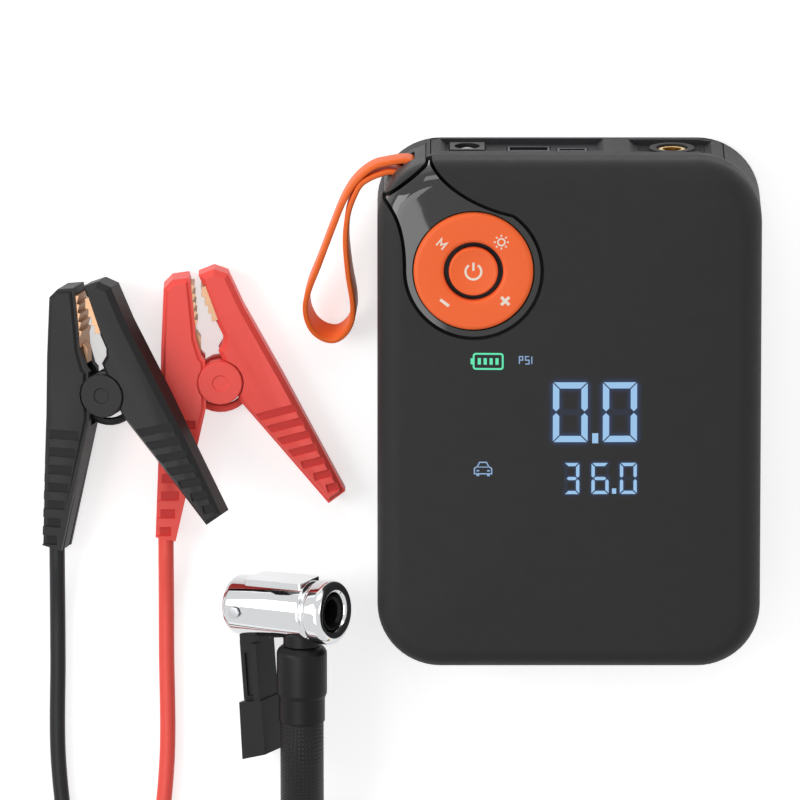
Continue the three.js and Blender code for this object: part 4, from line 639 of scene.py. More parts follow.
def lay_weave_uv(piece: bpy.types.Object, centre: np.ndarray, section: np.ndarray) -> None:
    """Adds a UV map in millimetres: round the section, then along the path.

    Args:
        piece: a swept object, whose points go ring by ring.
        centre: the path's points.
        section: the section's points.
    """
    count, n = len(centre), len(section)
    girth, reach = loop_lengths(section), loop_lengths(centre)
    layer = piece.data.uv_layers.new(name=WEAVE_UV)
    for polygon in piece.data.polygons:
        corners = [piece.data.loops[i].vertex_index for i in polygon.loop_indices]
        rings, spots = [c // n for c in corners], [c % n for c in corners]
        wraps_ring = max(rings) - min(rings) > 1
        wraps_spot = max(spots) - min(spots) > 1 and len(corners) == 4
        for loop, ring, spot in zip(polygon.loop_indices, rings, spots):
            ring = count if wraps_ring and ring == 0 else ring
            spot = n if wraps_spot and spot == 0 else spot
            layer.data[loop].uv = (girth[spot], reach[ring])


def sweep(
    name: str,
    path: np.ndarray,
    section: np.ndarray,
    closed: bool = False,
    sharp: float = 60.0,
    up: np.ndarray | None = None,
) -> bpy.types.Object:
    """Sweeps a section along a path, with a UV map in millimetres along its skin.

    The section's first axis lies across the path and its second axis upwards.

    Args:
        name: the piece's name.
        path: points of the centre line.
        section: outline of the section, counter-clockwise.
        closed: whether the path is a loop.
        sharp: edges over this angle stay sharp.
        up: the section's second axis at each point; by default the most upright one.

    Returns:
        The object.
    """
    centre = path[:, :3]
    if closed:
        along = np.roll(centre, -1, axis=0) - np.roll(centre, 1, axis=0)
    else:
        along = np.gradient(centre, axis=0)
    along = unit_rows(along)
    side = unit_rows(np.cross(along, [0, 0, 1] if up is None else up))
    top = np.cross(side, along) if up is None else up
    rings = [c + np.outer(section[:, 0], s) + np.outer(section[:, 1], t)
             for c, s, t in zip(centre, side, top)]
    points, faces = skin(rings, closed=closed)
    made = add_mesh(name, points, faces, sharp)
    lay_weave_uv(made, centre, section)
    return made


def circle(radius: float, count: int) -> np.ndarray:
    """Points of a circle, counter-clockwise."""
    angles = np.arange(count) * 2 * np.pi / count
    return np.column_stack([radius * np.cos(angles), radius * np.sin(angles)])


def rounded_rectangle(width: float, height: float, radius: float, steps: int) -> np.ndarray:
    """Points of a rounded rectangle about the origin, counter-clockwise."""
    made = []
    for corner, (sx, sy) in enumerate(((1, 1), (-1, 1), (-1, -1), (1, -1))):
        for i in range(steps + 1):
            angle = (corner + i / steps) * math.pi / 2
            made.append((
                sx * (width / 2 - radius) + radius * math.cos(angle),
                sy * (height / 2 - radius) + radius * math.sin(angle),
            ))
    return np.array(made)


def grown(outline: np.ndarray, reach: float) -> np.ndarray:
    """A counter-clockwise outline moved outwards by reach."""
    before = outline - np.roll(outline, 1, axis=0)
    after = np.roll(outline, -1, axis=0) - outline
    normals = []
    for edge in (unit_rows(before), unit_rows(after)):
        normals.append(np.column_stack([edge[:, 1], -edge[:, 0]]))
    middle = unit_rows(normals[0] + normals[1])
    share = np.maximum((middle * normals[1]).sum(axis=1), LEAST_CORNER)
    return outline + middle * (reach / share)[:, None]


class Inlay:
    """Collects thin flat shapes that lie on a surface, and makes one object of them."""

    LEAST_MITRE = 0.4

    def __init__(self, surface: Callable[[float, float], float], lift: float, depth: float) -> None:
        self.surface, self.lift, self.depth = surface, lift, depth
        self.points: list[tuple[float, float, float]] = []
        self.faces: list[Face] = []

    def patch(self, outline: Sequence[Point]) -> None:
        """Adds a filled outline."""
        n, start = len(outline), len(self.points)
        for drop in (self.depth, 0.0):
            for x, y in outline:
                self.points.append((x, y, self.surface(x, y) + self.lift - drop))
        self.faces.append(tuple(reversed(range(start, start + n))))
        self.faces.append(tuple(range(start + n, start + 2 * n)))
        for i in range(n):
            j = (i + 1) % n
            self.faces.append((start + i, start + j, start + n + j, start + n + i))

    def ribbon(self, line: Sequence[Point], width: float, closed: bool = False) -> None:
        """Adds a line of some width with mitred corners."""
        points = np.asarray(line, float)
        n = len(points)
        edges = np.roll(points, -1, axis=0) - points
        edges /= np.maximum(np.linalg.norm(edges, axis=1), 1e-9)[:, None]
        before = np.roll(edges, 1, axis=0)
        if not closed:
            before[0], edges[-1] = edges[0], before[-1]
        normal = np.column_stack([-(edges + before)[:, 1], (edges + before)[:, 0]])
        normal = unit_rows(normal)
        own = np.column_stack([-edges[:, 1], edges[:, 0]])
        reach = (width / 2) / np.maximum((normal * own).sum(axis=1), self.LEAST_MITRE)
        left, right = points + normal * reach[:, None], points - normal * reach[:, None]
        start = len(self.points)
        for drop in (self.depth, 0.0):
            for x, y in (*right, *left):
                self.points.append((x, y, self.surface(x, y) + self.lift - drop))
        up = 2 * n
        for i in range(n if closed else n - 1):
            j = (i + 1) % n
            r0, r1, l0, l1 = start + i, start + j, start + n + i, start + n + j
            self.faces += [(r0 + up, r1 + up, l1 + up, l0 + up), (r0, l0, l1, r1),
                           (r0, r1, r1 + up, r0 + up), (l0, l0 + up, l1 + up, l1)]
        if not closed:
            for i, turn in ((0, 1), (n - 1, -1)):
                r, l = start + i, start + n + i
                self.faces.append((r, r + up, l + up, l)[::turn])

    def build(self, name: str, finish: str, slot: Slot, body: str = "root") -> None:
        """Makes the object, which rides on a body.

        Args:
            name: the piece's name.
            finish: name of its finish.
            slot: record's slot, handed on to dress, which uses it only when finish is empty.
            body: CAD body that it rides on.
        """
        made = add_mesh(name, np.array(self.points), self.faces)
        dress(made, slot, body=body, finish=finish)


def dress(
    piece: bpy.types.Object, slot: Slot, *nodes: str, body: str = "root", finish: str | None = None
) -> None:
    """Gives a new piece its material and its body.

    Args:
        piece: the object.
        slot: record's slot.
        nodes: CAD nodes that it stands for.
        body: CAD body that it rides on.
        finish: name of its finish, where that isn't the slot's own.
    """
    piece.data.materials.clear()
    piece.data.materials.append(palette.get(finish or slot))
    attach(piece, body)
    if nodes:
        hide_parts(*nodes)


# ---- Camera, light and floor ----------------------------------------------------------


@dataclass(frozen=True)
class View:
    """The photograph's view: a long lens, tilted towards the port panel."""

    tilt: float = 13.5
    distance: float = 5000.0
    width: float = 266.7
    centre_x: float = -56.0
    centre_v: float = -4.17
    sensor: float = 36.0

    def build(self) -> None:
        """Makes the camera."""
        tilt = math.radians(self.tilt)
        up = Vector((0, math.cos(tilt), -math.sin(tilt)))
        back = Vector((0, math.sin(tilt), math.cos(tilt)))
        target = Vector((self.centre_x, 0, 0)) + up * self.centre_v
        data = bpy.data.cameras.new("photo_camera")
        data.sensor_width = self.sensor
        data.lens = self.sensor * self.distance / self.width
        data.clip_start, data.clip_end = 0.1, 100
        camera = place_object("photo_camera", data)
        turn = Matrix((Vector((1, 0, 0)), up, back)).transposed()
        place = Matrix.Translation((target + back * self.distance) * MM)
        camera.matrix_world = place @ turn.to_4x4()
        bpy.context.scene.camera = camera


@dataclass(frozen=True)
class Lamp:
    AIM = (-0.05, -0.03, 0.02)

    name: str
    place: tuple[float, float, float]
    size: tuple[float, float]
    power: float

    def build(self) -> None:
        """Makes the lamp."""
        data = bpy.data.lights.new(self.name, "AREA")
        data.shape, data.size, data.size_y = "RECTANGLE", self.size[0], self.size[1]
        data.energy = self.power
        lamp = place_object(self.name, data)
        lamp.location = self.place
        aim = Vector(self.AIM) - lamp.location
        lamp.rotation_mode = "QUATERNION"
        lamp.rotation_quaternion = aim.to_track_quat("-Z", "Y")


LAMPS = (
    Lamp("left_softbox", (-1.45, 0.35, 1.05), (0.9, 1.3), 15.0),
    Lamp("top_softbox", (0.10, 1.40, 0.90), (1.5, 0.6), 7.0),
    Lamp("right_strip", (1.30, 0.10, 0.55), (0.35, 1.2), 3.0),
)


class Stage:
    """The white background, and a card that only reflections see. Places are in metres."""

    WORLD_LIGHT = 0.42
    FLOOR_GLOW = 0.58
    FLOOR_COLOUR = 0.82
    FLOOR_ROUGHNESS = 0.9
    FLOOR_SPECULAR = 0.1
    FLOOR_HALF = 60.0
    FLOOR_DROP = -0.00005
    CARD = ((-0.90, -0.60), (-0.130, 0.30), 1.0)
    CARD_GLOW = (3.8, 3.4)
    CARD_FADE = 4

    def build(self) -> None:
        """Makes the world, the floor and the card."""
        self.build_world()
        self.build_floor()
        self.build_card()

    @staticmethod
    def background_rays(nodes: Nodes) -> bpy.types.NodeSocket:
        """A socket that is one for camera, glossy and transmission rays, zero for others."""
        path = nodes.node("ShaderNodeLightPath").outputs
        seen = nodes.math("MAXIMUM", path["Is Camera Ray"], path["Is Glossy Ray"])
        return nodes.math("MAXIMUM", seen, path["Is Transmission Ray"])

    @staticmethod
    def sheet(name: str, corners: Sequence[Point], colour: float) -> bpy.types.Object:
        """A stage piece: one face with a grey material that can glow white.

        Args:
            name: its name.
            corners: its corners.
            colour: its material's grey.

        Returns:
            The object.
        """
        mesh = bpy.data.meshes.new(name)
        mesh.from_pydata(list(corners), [], [(0, 1, 2, 3)])
        material = bpy.data.materials.new(f"{name}_paper")
        material.use_nodes = True
        paper = material.node_tree.nodes["Principled BSDF"]
        paper.inputs["Base Color"].default_value = (colour, colour, colour, 1)
        paper.inputs["Emission Color"].default_value = (1, 1, 1, 1)
        mesh.materials.append(material)
        return place_object(name, mesh)

    def build_world(self) -> None:
        """The world: white to the camera and to reflections, and a plain light."""
        world = bpy.data.worlds.new("studio")
        bpy.context.scene.world = world
        world.use_nodes = True
        nodes = Nodes(world.node_tree)
        background = nodes.tree.nodes["Background"].inputs
        background["Color"].default_value = (1, 1, 1, 1)
        level = nodes.ranged(self.background_rays(nodes), to=(self.WORLD_LIGHT, 1.0))
        nodes.link(level, background["Strength"])

    def build_floor(self) -> None:
        corners = [(sx * self.FLOOR_HALF, sy * self.FLOOR_HALF, self.FLOOR_DROP)
                   for sx, sy in ((-1, -1), (1, -1), (1, 1), (-1, 1))]
        floor = self.sheet("floor", corners, self.FLOOR_COLOUR)
        nodes = Nodes(floor.active_material.node_tree)
        paper = nodes.tree.nodes["Principled BSDF"].inputs
        paper["Roughness"].default_value = self.FLOOR_ROUGHNESS
        paper["Specular IOR Level"].default_value = self.FLOOR_SPECULAR
        glow = nodes.math("MULTIPLY", self.background_rays(nodes), self.FLOOR_GLOW)
        nodes.link(glow, paper["Emission Strength"])

    def build_card(self) -> None:
        (x0, y0), (x1, y1), z = self.CARD
        corners = [(x0, y0, z), (x0, y1, z), (x1, y1, z), (x1, y0, z)]
        card = self.sheet("reflection_card", corners, 0.0)
        card.visible_camera = card.visible_diffuse = card.visible_shadow = False
        card.visible_transmission = False
        nodes = Nodes(card.active_material.node_tree)
        across = nodes.axes(nodes.node("ShaderNodeTexCoord").outputs["Object"])[0]
        glow = nodes.ranged(across, to=self.CARD_GLOW, given=(self.CARD_FADE * x1, x1))
        nodes.link(glow, nodes.tree.nodes["Principled BSDF"].inputs["Emission Strength"])


# ---- CAD nodes that stay --------------------------------------------------------------


class CadDresser:
    """Rounds the edges of the frame's own nodes by modifiers and gives them materials."""

    SMOOTH_UNDER = 30.0
    FLAT_UNDER = 0.6
    WELD = 1e-6

    def __init__(self) -> None:
        self.shading = self._shading_group()

    def _shading_group(self) -> bpy.types.NodeTree:
        """Node group that shades faces smooth, apart from edges over an angle."""
        group = bpy.data.node_groups.new("shade_by_angle", "GeometryNodeTree")
        for way in ("INPUT", "OUTPUT"):
            group.interface.new_socket("Geometry", in_out=way, socket_type="NodeSocketGeometry")
        nodes = Nodes(group)
        bend = nodes.node("GeometryNodeInputMeshEdgeAngle")
        gentle = nodes.node("FunctionNodeCompare", data_type="FLOAT", operation="LESS_EQUAL")
        gentle.inputs["B"].default_value = math.radians(self.SMOOTH_UNDER)
        edges = nodes.node("GeometryNodeSetShadeSmooth", domain="EDGE")
        faces = nodes.node("GeometryNodeSetShadeSmooth", domain="FACE")
        faces.inputs["Shade Smooth"].default_value = True
        nodes.link(bend.outputs["Unsigned Angle"], gentle.inputs["A"])
        nodes.link(gentle.outputs[0], edges.inputs["Shade Smooth"])
        nodes.link(nodes.node("NodeGroupInput").outputs[0], edges.inputs["Geometry"])
        nodes.link(edges.outputs[0], faces.inputs["Geometry"])
        nodes.link(faces.outputs[0], nodes.node("NodeGroupOutput").inputs[0])
        return group

    def dress(self, node: str, finish: Slot, edge: float = 0.25) -> None:
        """Dresses one node.

        Args:
            node: its name.
            finish: its finish.
            edge: width of its rounded edges, or 0 for none.
        """
        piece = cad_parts[node]
        piece.data.materials.clear()
        piece.data.materials.append(palette.get(finish))
        weld = piece.modifiers.new("weld", "WELD")
        weld.merge_threshold = self.WELD
        plain = piece.modifiers.new("flat_faces", "DECIMATE")
        plain.decimate_type, plain.angle_limit = "DISSOLVE", math.radians(self.FLAT_UNDER)
        piece.modifiers.new("shading", "NODES").node_group = self.shading
        if edge > 0:
            soften(piece, edge)


# ---- Casing ---------------------------------------------------------------------------


@dataclass(frozen=True)
class CaseSizes:
    """Sizes of the casing, as in the CAD source.

    The anchor runs between two angles on the round corner; its tools reach past its chord.
    """

    width: float = 127.0
    length: float = 172.0
    height: float = 47.0
    corner: float = 21.0
    least_corner: float = 5.0
    wall: float = 2.5
    rim: float = 29.5
    edge_width: float = 8.0
    edge_height: float = 9.3
    crown: float = 1.7
    anchor_from: float = 104.0
    anchor_to: float = 152.0
    anchor_radius: float = 8.5
    anchor_shift: tuple[float, float] = (-1.0, -1.5)
    anchor_overrun: float = 4.0
    anchor_reach: float = 12.0
    anchor_low: float = 10.0
    anchor_high: float = 33.0
    pin: tuple[float, float] = (-53.5, 80.5)
    pin_radius: float = 1.2
    slot_radius: float = 4.3
    slot_low: float = 15.5
    slot_high: float = 26.5
    gap: float = 0.3
    tray_height: float = 29.2
    back_round: float = 3.0
    port_low: tuple[float, float, float] = (-46.0, 74.0, 2.9)
    port_high: tuple[float, float, float] = (51.3, 87.0, 27.1)
    socket_low: tuple[float, float, float] = (58.5, -60.3, 5.3)
    socket_high: tuple[float, float, float] = (64.5, -29.7, 23.7)
    boss_radius: float = 4.0
    seat_radius: float = 5.5
    screw_radius: float = 1.8
    head_radius: float = 3.3
    seat_height: float = 2.8


@dataclass(frozen=True)
class PadSizes:
    """Sizes of the control pad, as in the CAD source."""

    centre: tuple[float, float] = (-31.8, 50.4)
    radius: float = 23.3
    shoulder: float = 5.0
    side: float = 18.0
    tail_angle: float = 55.0
    tail_overrun: float = 2.0
    depth: float = 3.5
    wall: float = 2.5
    groove: float = 1.2
    sink: float = 0.4
    play: float = 0.45
    ring_radius: float = 19.75
    ring_hole: float = 9.8
    ring_top: float = 47.3
    ring_bottom: float = 44.3
    button_radius: float = 8.1
    button_low: float = 44.75
    button_high: float = 47.05


class Casing:
    """The front cover, the rear cover, the control pad's bezel and the strap's anchor."""

    CORNER_STEPS = 14
    EDGE_STEPS = 14
    CROWN_STEPS = 16
    LEAST_STEP = 0.5

    def __init__(self, case: CaseSizes, pad: PadSizes) -> None:
        self.case, self.pad = case, pad

    def crown_height(self, inset: float) -> float:
        """Height of the front at a distance in from the casing's side."""
        case = self.case
        share = (inset - case.edge_width) / (case.width / 2 - case.edge_width)
        return case.height - case.crown * (1 - share) ** 2

    def surface(self, x: float, y: float) -> float:
        """Height of the crown at a place on the front."""
        inset = min(self.case.width / 2 - abs(x), self.case.length / 2 - abs(y))
        return self.crown_height(inset)

    def ring(self, inset: float, z: float) -> np.ndarray:
        """The casing's outline moved in by inset, at a height."""
        case = self.case
        corner = min(max(case.corner - inset, case.least_corner), case.width / 2 - inset - 0.01)
        flat = rounded_rectangle(case.width - 2 * inset, case.length - 2 * inset, corner,
                                 self.CORNER_STEPS)
        return np.column_stack([flat, np.full(len(flat), z)])

    def pillow(self, name: str, inwards: float, bottom: float) -> bpy.types.Object:
        """Everything below the pillow front, moved inwards.

        Args:
            name: the object's name.
            inwards: distance that the sides and the top are moved in.
            bottom: height of its flat underside.

        Returns:
            The object.
        """
        case = self.case
        edge = case.height - case.crown - case.edge_height
        steps = [(inwards, bottom), (inwards, edge - inwards)]
        for angle in np.radians(np.linspace(0, 90, self.EDGE_STEPS + 1)[1:]):
            steps.append((
                inwards + case.edge_width * (1 - math.cos(angle)),
                edge - inwards + case.edge_height * math.sin(angle),
            ))
        for inset in np.linspace(case.edge_width, case.width / 2, self.CROWN_STEPS)[1:-1]:
            if inset > steps[-1][0] + self.LEAST_STEP:
                steps.append((inset, self.crown_height(inset) - inwards))
        return add_mesh(name, *skin([self.ring(inset, z) for inset, z in steps]))

    def corner_point(self, angle: float) -> np.ndarray:
        """A point on the round corner of the strap's anchor."""
        case = self.case
        turn = math.radians(angle)
        return np.array([
            -(case.width / 2 - case.corner) + case.corner * math.cos(turn),
            case.length / 2 - case.corner + case.corner * math.sin(turn),
        ])

    def anchor_chord(self, overrun: float) -> tuple[np.ndarray, np.ndarray, np.ndarray]:
        """Both ends of the anchor's chord, moved out by overrun, and its direction."""
        low = self.corner_point(self.case.anchor_to)
        high = self.corner_point(self.case.anchor_from)
        along = (high - low) / np.linalg.norm(high - low)
        return low - overrun * along, high + overrun * along, along

    def pad_outline(self) -> np.ndarray:
        """The control pad's outline: a round part and a tail that runs to the anchor."""
        pad = self.pad
        left, right, _ = self.anchor_chord(pad.tail_overrun)
        cx, cy = pad.centre
        start, end = np.radians(180), np.radians(360 + pad.tail_angle)
        bow = [(cx + pad.radius * math.cos(t), cy + pad.radius * math.sin(t))
               for t in np.linspace(start, end, 72)]
        share = np.linspace(0, 1, 25)[:, None]

        def bend(a: Point, b: Point, c: Point) -> np.ndarray:
            a, b, c = (np.array(p, float) for p in (a, b, c))
            return (1 - share) ** 2 * a + 2 * share * (1 - share) * b + share**2 * c

        first = bend(left, (cx - pad.radius, cy + pad.side), (cx - pad.radius, cy))
        last = bend(bow[-1], (cx - pad.shoulder, cy + pad.radius), right)
        return np.vstack([first, bow[1:-1], last])

    def anchor_tools(self, gap: float) -> list[bpy.types.Object]:
        """The space of the strap's anchor, grown by a gap, as two closed tools."""
        case = self.case
        low, high, along = self.anchor_chord(case.anchor_overrun)
        out = np.array([-along[1], along[0]])
        chord = np.array([low - gap * out, high - gap * out,
                          high + case.anchor_reach * out, low + case.anchor_reach * out])
        core = circle(case.anchor_radius + gap, 64) + (np.array(case.pin) + case.anchor_shift)
        return [
            prism("anchor_chord", chord, case.anchor_low - gap, case.height + 1),
            prism("anchor_core", core, case.anchor_low - gap, case.anchor_high + gap),
        ]

    def build_front(self) -> None:
        """Makes the front cover with the pad's pocket and the anchor's corner cut out."""
        case, pad = self.case, self.pad
        outline = self.pad_outline()
        cover = self.pillow("cover_front", 0.0, case.rim)
        shallow = self.pillow("hollow_wall", case.wall, case.rim - 1)
        above_pad = prism("above_pad", grown(outline, pad.wall), case.rim - 2, case.height + 2)
        carve(shallow, [above_pad])
        deep = self.pillow("hollow_pad", pad.depth + pad.wall, case.rim - 1)
        pocket = prism("pad_pocket", outline, case.rim, case.height + 1)
        carve(pocket, [self.pillow("pocket_floor", pad.depth, case.rim - 1)])
        carve(cover, [shallow, deep, pocket, *self.anchor_tools(case.gap)], 32.0)
        soften(cover, 0.4, 50.0)
        dress(cover, Slot.SOFT_TOUCH, "front_cover")

    def build_tray(self) -> None:
        """Makes the rear cover: a tray with a round-edged back, bosses and openings."""
        case = self.case
        rings = [self.ring(case.back_round * (1 - math.sin(t)), case.back_round * (1 - math.cos(t)))
                 for t in np.radians(np.linspace(0, 90, 9))]
        tray = add_mesh("cover_rear", *skin([*rings, self.ring(0, case.tray_height)]))
        hollow = skin([self.ring(case.wall, case.wall), self.ring(case.wall, case.height)])
        carve(tray, [add_mesh("tray_hollow", *hollow)])
        bosses, holes = [], []
        for i in range(1, 5):
            low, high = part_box(f"case_screw_{i}")
            at = (np.array(low[:2]) + np.array(high[:2])) / 2 / MM
            for radius, top in ((case.boss_radius, case.tray_height),
                                (case.seat_radius, case.seat_height + case.wall)):
                bosses.append(prism("boss", circle(radius, 32) + at, case.wall / 2, top))
            for radius, count, top in ((case.screw_radius, 24, case.height),
                                       (case.head_radius, 32, case.seat_height)):
                holes.append(prism("hole", circle(radius, count) + at, -1, top))
        unite(tray, bosses)
        carve(tray, [*holes, block("port_opening", case.port_low, case.port_high),
                     block("socket_opening", case.socket_low, case.socket_high),
                     *self.anchor_tools(case.gap)])
        dress(tray, Slot.KNURLED, "rear_cover")

    def build_bezel(self) -> None:
        """Makes the gloss bezel, which fills the pocket but for a groove."""
        case, pad = self.case, self.pad
        outline = grown(self.pad_outline(), -pad.groove)
        bezel = prism("bezel_gloss", outline, case.rim, case.height)
        trim(bezel, self.pillow("bezel_top", pad.sink, case.rim - 1))
        hole = prism("ring_hole", circle(pad.ring_radius + pad.play, 96) + pad.centre,
                     0, case.height + 1)
        floor = self.pillow("bezel_floor", pad.depth - case.gap, case.rim - 2)
        carve(bezel, [floor, hole, *self.anchor_tools(case.gap)], 32.0)
        soften(bezel, 0.3, 50.0)
        dress(bezel, Slot.GLOSS, "control_bezel")

    def build_anchor(self) -> None:
        """Makes the strap's anchor with its slot and the hole of the pin."""
        case = self.case
        anchor = self.pillow("anchor_corner", 0.0, case.anchor_low)
        region, round_block = self.anchor_tools(0.0)
        unite(region, [round_block])
        trim(anchor, region)
        (x, y), r = case.pin, case.slot_radius
        slot = prism("slot_round", circle(r, 48) + case.pin, case.slot_low, case.slot_high)
        unite(slot, [block("slot_way", (x - 20, y - r, case.slot_low), (x, y + r, case.slot_high))])
        hole = prism("pin_hole", circle(case.pin_radius + case.gap, 32) + case.pin,
                     0, case.anchor_high - 3)
        carve(anchor, [slot, hole], 32.0)
        soften(anchor, 0.4, 50.0)
        dress(anchor, Slot.DARK, "strap_anchor")

    def build(self) -> None:
        """Makes the casing's pieces."""
        self.build_front()
        self.build_tray()
        self.build_bezel()
        self.build_anchor()


class ControlPad:
    """The orange ring with its printed signs, and the power button."""

    DISH = 0.4
    STROKE = 0.75
    SIGN_LIFT = 0.04
    SIGN_DEPTH = 0.3

    def __init__(self, pad: PadSizes) -> None:
        self.pad = pad

    def _at(self, dx: float, dy: float, turn: float, points: Sequence[Point]) -> np.ndarray:
        """Points about a place on the pad, turned by degrees."""
        c, s = math.cos(math.radians(turn)), math.sin(math.radians(turn))
        flat = np.asarray(points, float)
        return np.column_stack([
            self.pad.centre[0] + dx + c * flat[:, 0] - s * flat[:, 1],
            self.pad.centre[1] + dy + s * flat[:, 0] + c * flat[:, 1],
        ])

    def build_ring(self) -> None:
        """The ring, with soft edges and a shallow crown."""
        pad = self.pad
        top, low = pad.ring_top, pad.ring_bottom
        profile = rounded([
            (pad.ring_hole, low), (pad.ring_radius, low), (pad.ring_radius, top - 0.9),
            (pad.ring_radius - 0.4, top - 0.25), (pad.ring_radius - 1.2, top),
            (pad.ring_hole + 1, top - 0.1), (pad.ring_hole + 0.3, top - 0.4),
            (pad.ring_hole, top - 1), (pad.ring_hole, low + 0.1),
        ], 0.4)
        ring = turned("ring_orange", profile, 144, Matrix.Translation((*pad.centre, 0)), 50.0)
        dress(ring, Slot.ORANGE, "control_ring", body="control_ring")

    def build_button(self) -> None:
        """The round button with a shallow dish."""
        pad = self.pad
        r, low, high = pad.button_radius, pad.button_low, pad.button_high
        dish = [(r * s, high - self.DISH + self.DISH * s**2) for s in (0.9, 0.7, 0.5, 0.3, 0.15)]
        profile = [(0, low), (r, low), (r, high - 0.6), (r - 0.15, high - 0.25),
                   (r - 0.5, high), *dish, (0, high - self.DISH)]
        button = turned("button_power", profile, 96, Matrix.Translation((*pad.centre, 0)), 50.0)
        dress(button, Slot.ORANGE, "power_button", body="power_button")

    def build_signs(self) -> None:
        """The printed signs: sun, letter, plus and minus on the ring, power on the button."""
        pad, width = self.pad, self.STROKE
        signs = Inlay(lambda x, y: pad.ring_top - 0.03, self.SIGN_LIFT, self.SIGN_DEPTH)
        letter = [(-1.15, -1.4), (-1.15, 1.4), (0.0, -0.3), (1.15, 1.4), (1.15, -1.4)]
        signs.ribbon(self._at(-10.5, 9.4, -40, letter), 0.55)
        signs.ribbon(self._at(9.2, 10.1, 0, circle(1.15, 24)), 0.5, closed=True)
        for i in range(8):
            signs.ribbon(self._at(9.2, 10.1, 45 * i, [(1.8, 0), (2.5, 0)]), 0.5)
        bar, arm = 1.0, 1.9
        signs.ribbon(self._at(-9.5, -10.4, -38, [(-1.8, 0), (1.8, 0)]), bar)
        signs.ribbon(self._at(10.5, -9.8, 45, [(-arm, 0), (arm, 0)]), bar)
        signs.ribbon(self._at(10.5, -9.8, 135, [(-arm, 0), (-bar / 2, 0)]), bar)
        signs.ribbon(self._at(10.5, -9.8, 135, [(bar / 2, 0), (arm, 0)]), bar)
        signs.build("ring_signs", "icon_cream", Slot.ORANGE, "control_ring")

        def dish(x: float, y: float) -> float:
            reach = math.hypot(x - pad.centre[0], y - pad.centre[1]) / pad.button_radius
            return pad.button_high - self.DISH + self.DISH * reach**2

        power = Inlay(dish, 2 * self.SIGN_LIFT, self.SIGN_DEPTH)
        power.ribbon(self._at(0, 0, 0, arc(2.6, 125, 415, 40)), width)
        power.ribbon(self._at(0, 0, 0, [(0, 0.3), (0, 3.1)]), width)
        power.build("button_sign", "icon_cream", Slot.ORANGE, "power_button")

    def build(self) -> None:
        """Makes the pad's pieces."""
        self.build_ring()
        self.build_button()
        self.build_signs()


# ---- Display --------------------------------------------------------------------------


@dataclass(frozen=True)
class Digit:
    """One seven-segment digit: its box, stroke and lit segments."""

    left: float
    right: float
    low: float
    high: float
    stroke: float
    figure: int

    GAP = 0.28
    LIT = {0: "abcdef", 3: "abcdg", 6: "acdefg"}

    def segments(self) -> dict[str, list[tuple[float, float]]]:
        """Outline of each segment, with mitred ends."""
        l, r, b, t, w = self.left, self.right, self.low, self.high, self.stroke
        gap, mid = self.GAP, (self.low + self.high) / 2
        top = [(l + gap, t), (r - gap, t), (r - w - gap, t - w), (l + w + gap, t - w)]
        side = [(l, t - gap), (l + w, t - w - gap), (l + w, mid + w / 2 + gap),
                (l + w / 2, mid + gap), (l, mid + w / 2 + gap)]
        bar = [(l + w / 2 + gap, mid), (l + w + gap, mid + w / 2), (r - w - gap, mid + w / 2),
               (r - w / 2 - gap, mid), (r - w - gap, mid - w / 2), (l + w + gap, mid - w / 2)]

        def across(points: list) -> list:
            return [(l + r - x, y) for x, y in points]

        def down(points: list) -> list:
            return [(x, b + t - y) for x, y in points]

        return {"a": top, "d": down(top), "f": side, "b": across(side), "e": down(side),
                "c": across(down(side)), "g": bar}

    def lines(self) -> list[tuple[np.ndarray, np.ndarray]]:
        """Centre line of each lit segment, for its halo."""
        found = []
        for key in self.LIT[self.figure]:
            points = np.array(self.segments()[key])
            centre = points.mean(axis=0)
            axis = np.linalg.svd(points - centre)[2][0]
            reach = np.abs((points - centre) @ axis).max() * 0.8
            found.append((centre - axis * reach, centre + axis * reach))
        return found


DIGITS = (
    Digit(-5.5, 6.0, -7.3, 13.0, 2.1, 0),
    Digit(11.0, 22.3, -7.3, 13.0, 2.1, 0),
    Digit(-1.7, 3.3, -25.0, -14.4, 1.1, 3),
    Digit(7.3, 13.0, -25.0, -14.4, 1.1, 6),
    Digit(16.7, 22.3, -25.0, -14.4, 1.1, 0),
)
DOTS = ((8.5, -6.0, 1.0, 1.7), (14.8, -24.0, 0.7, 0.9))


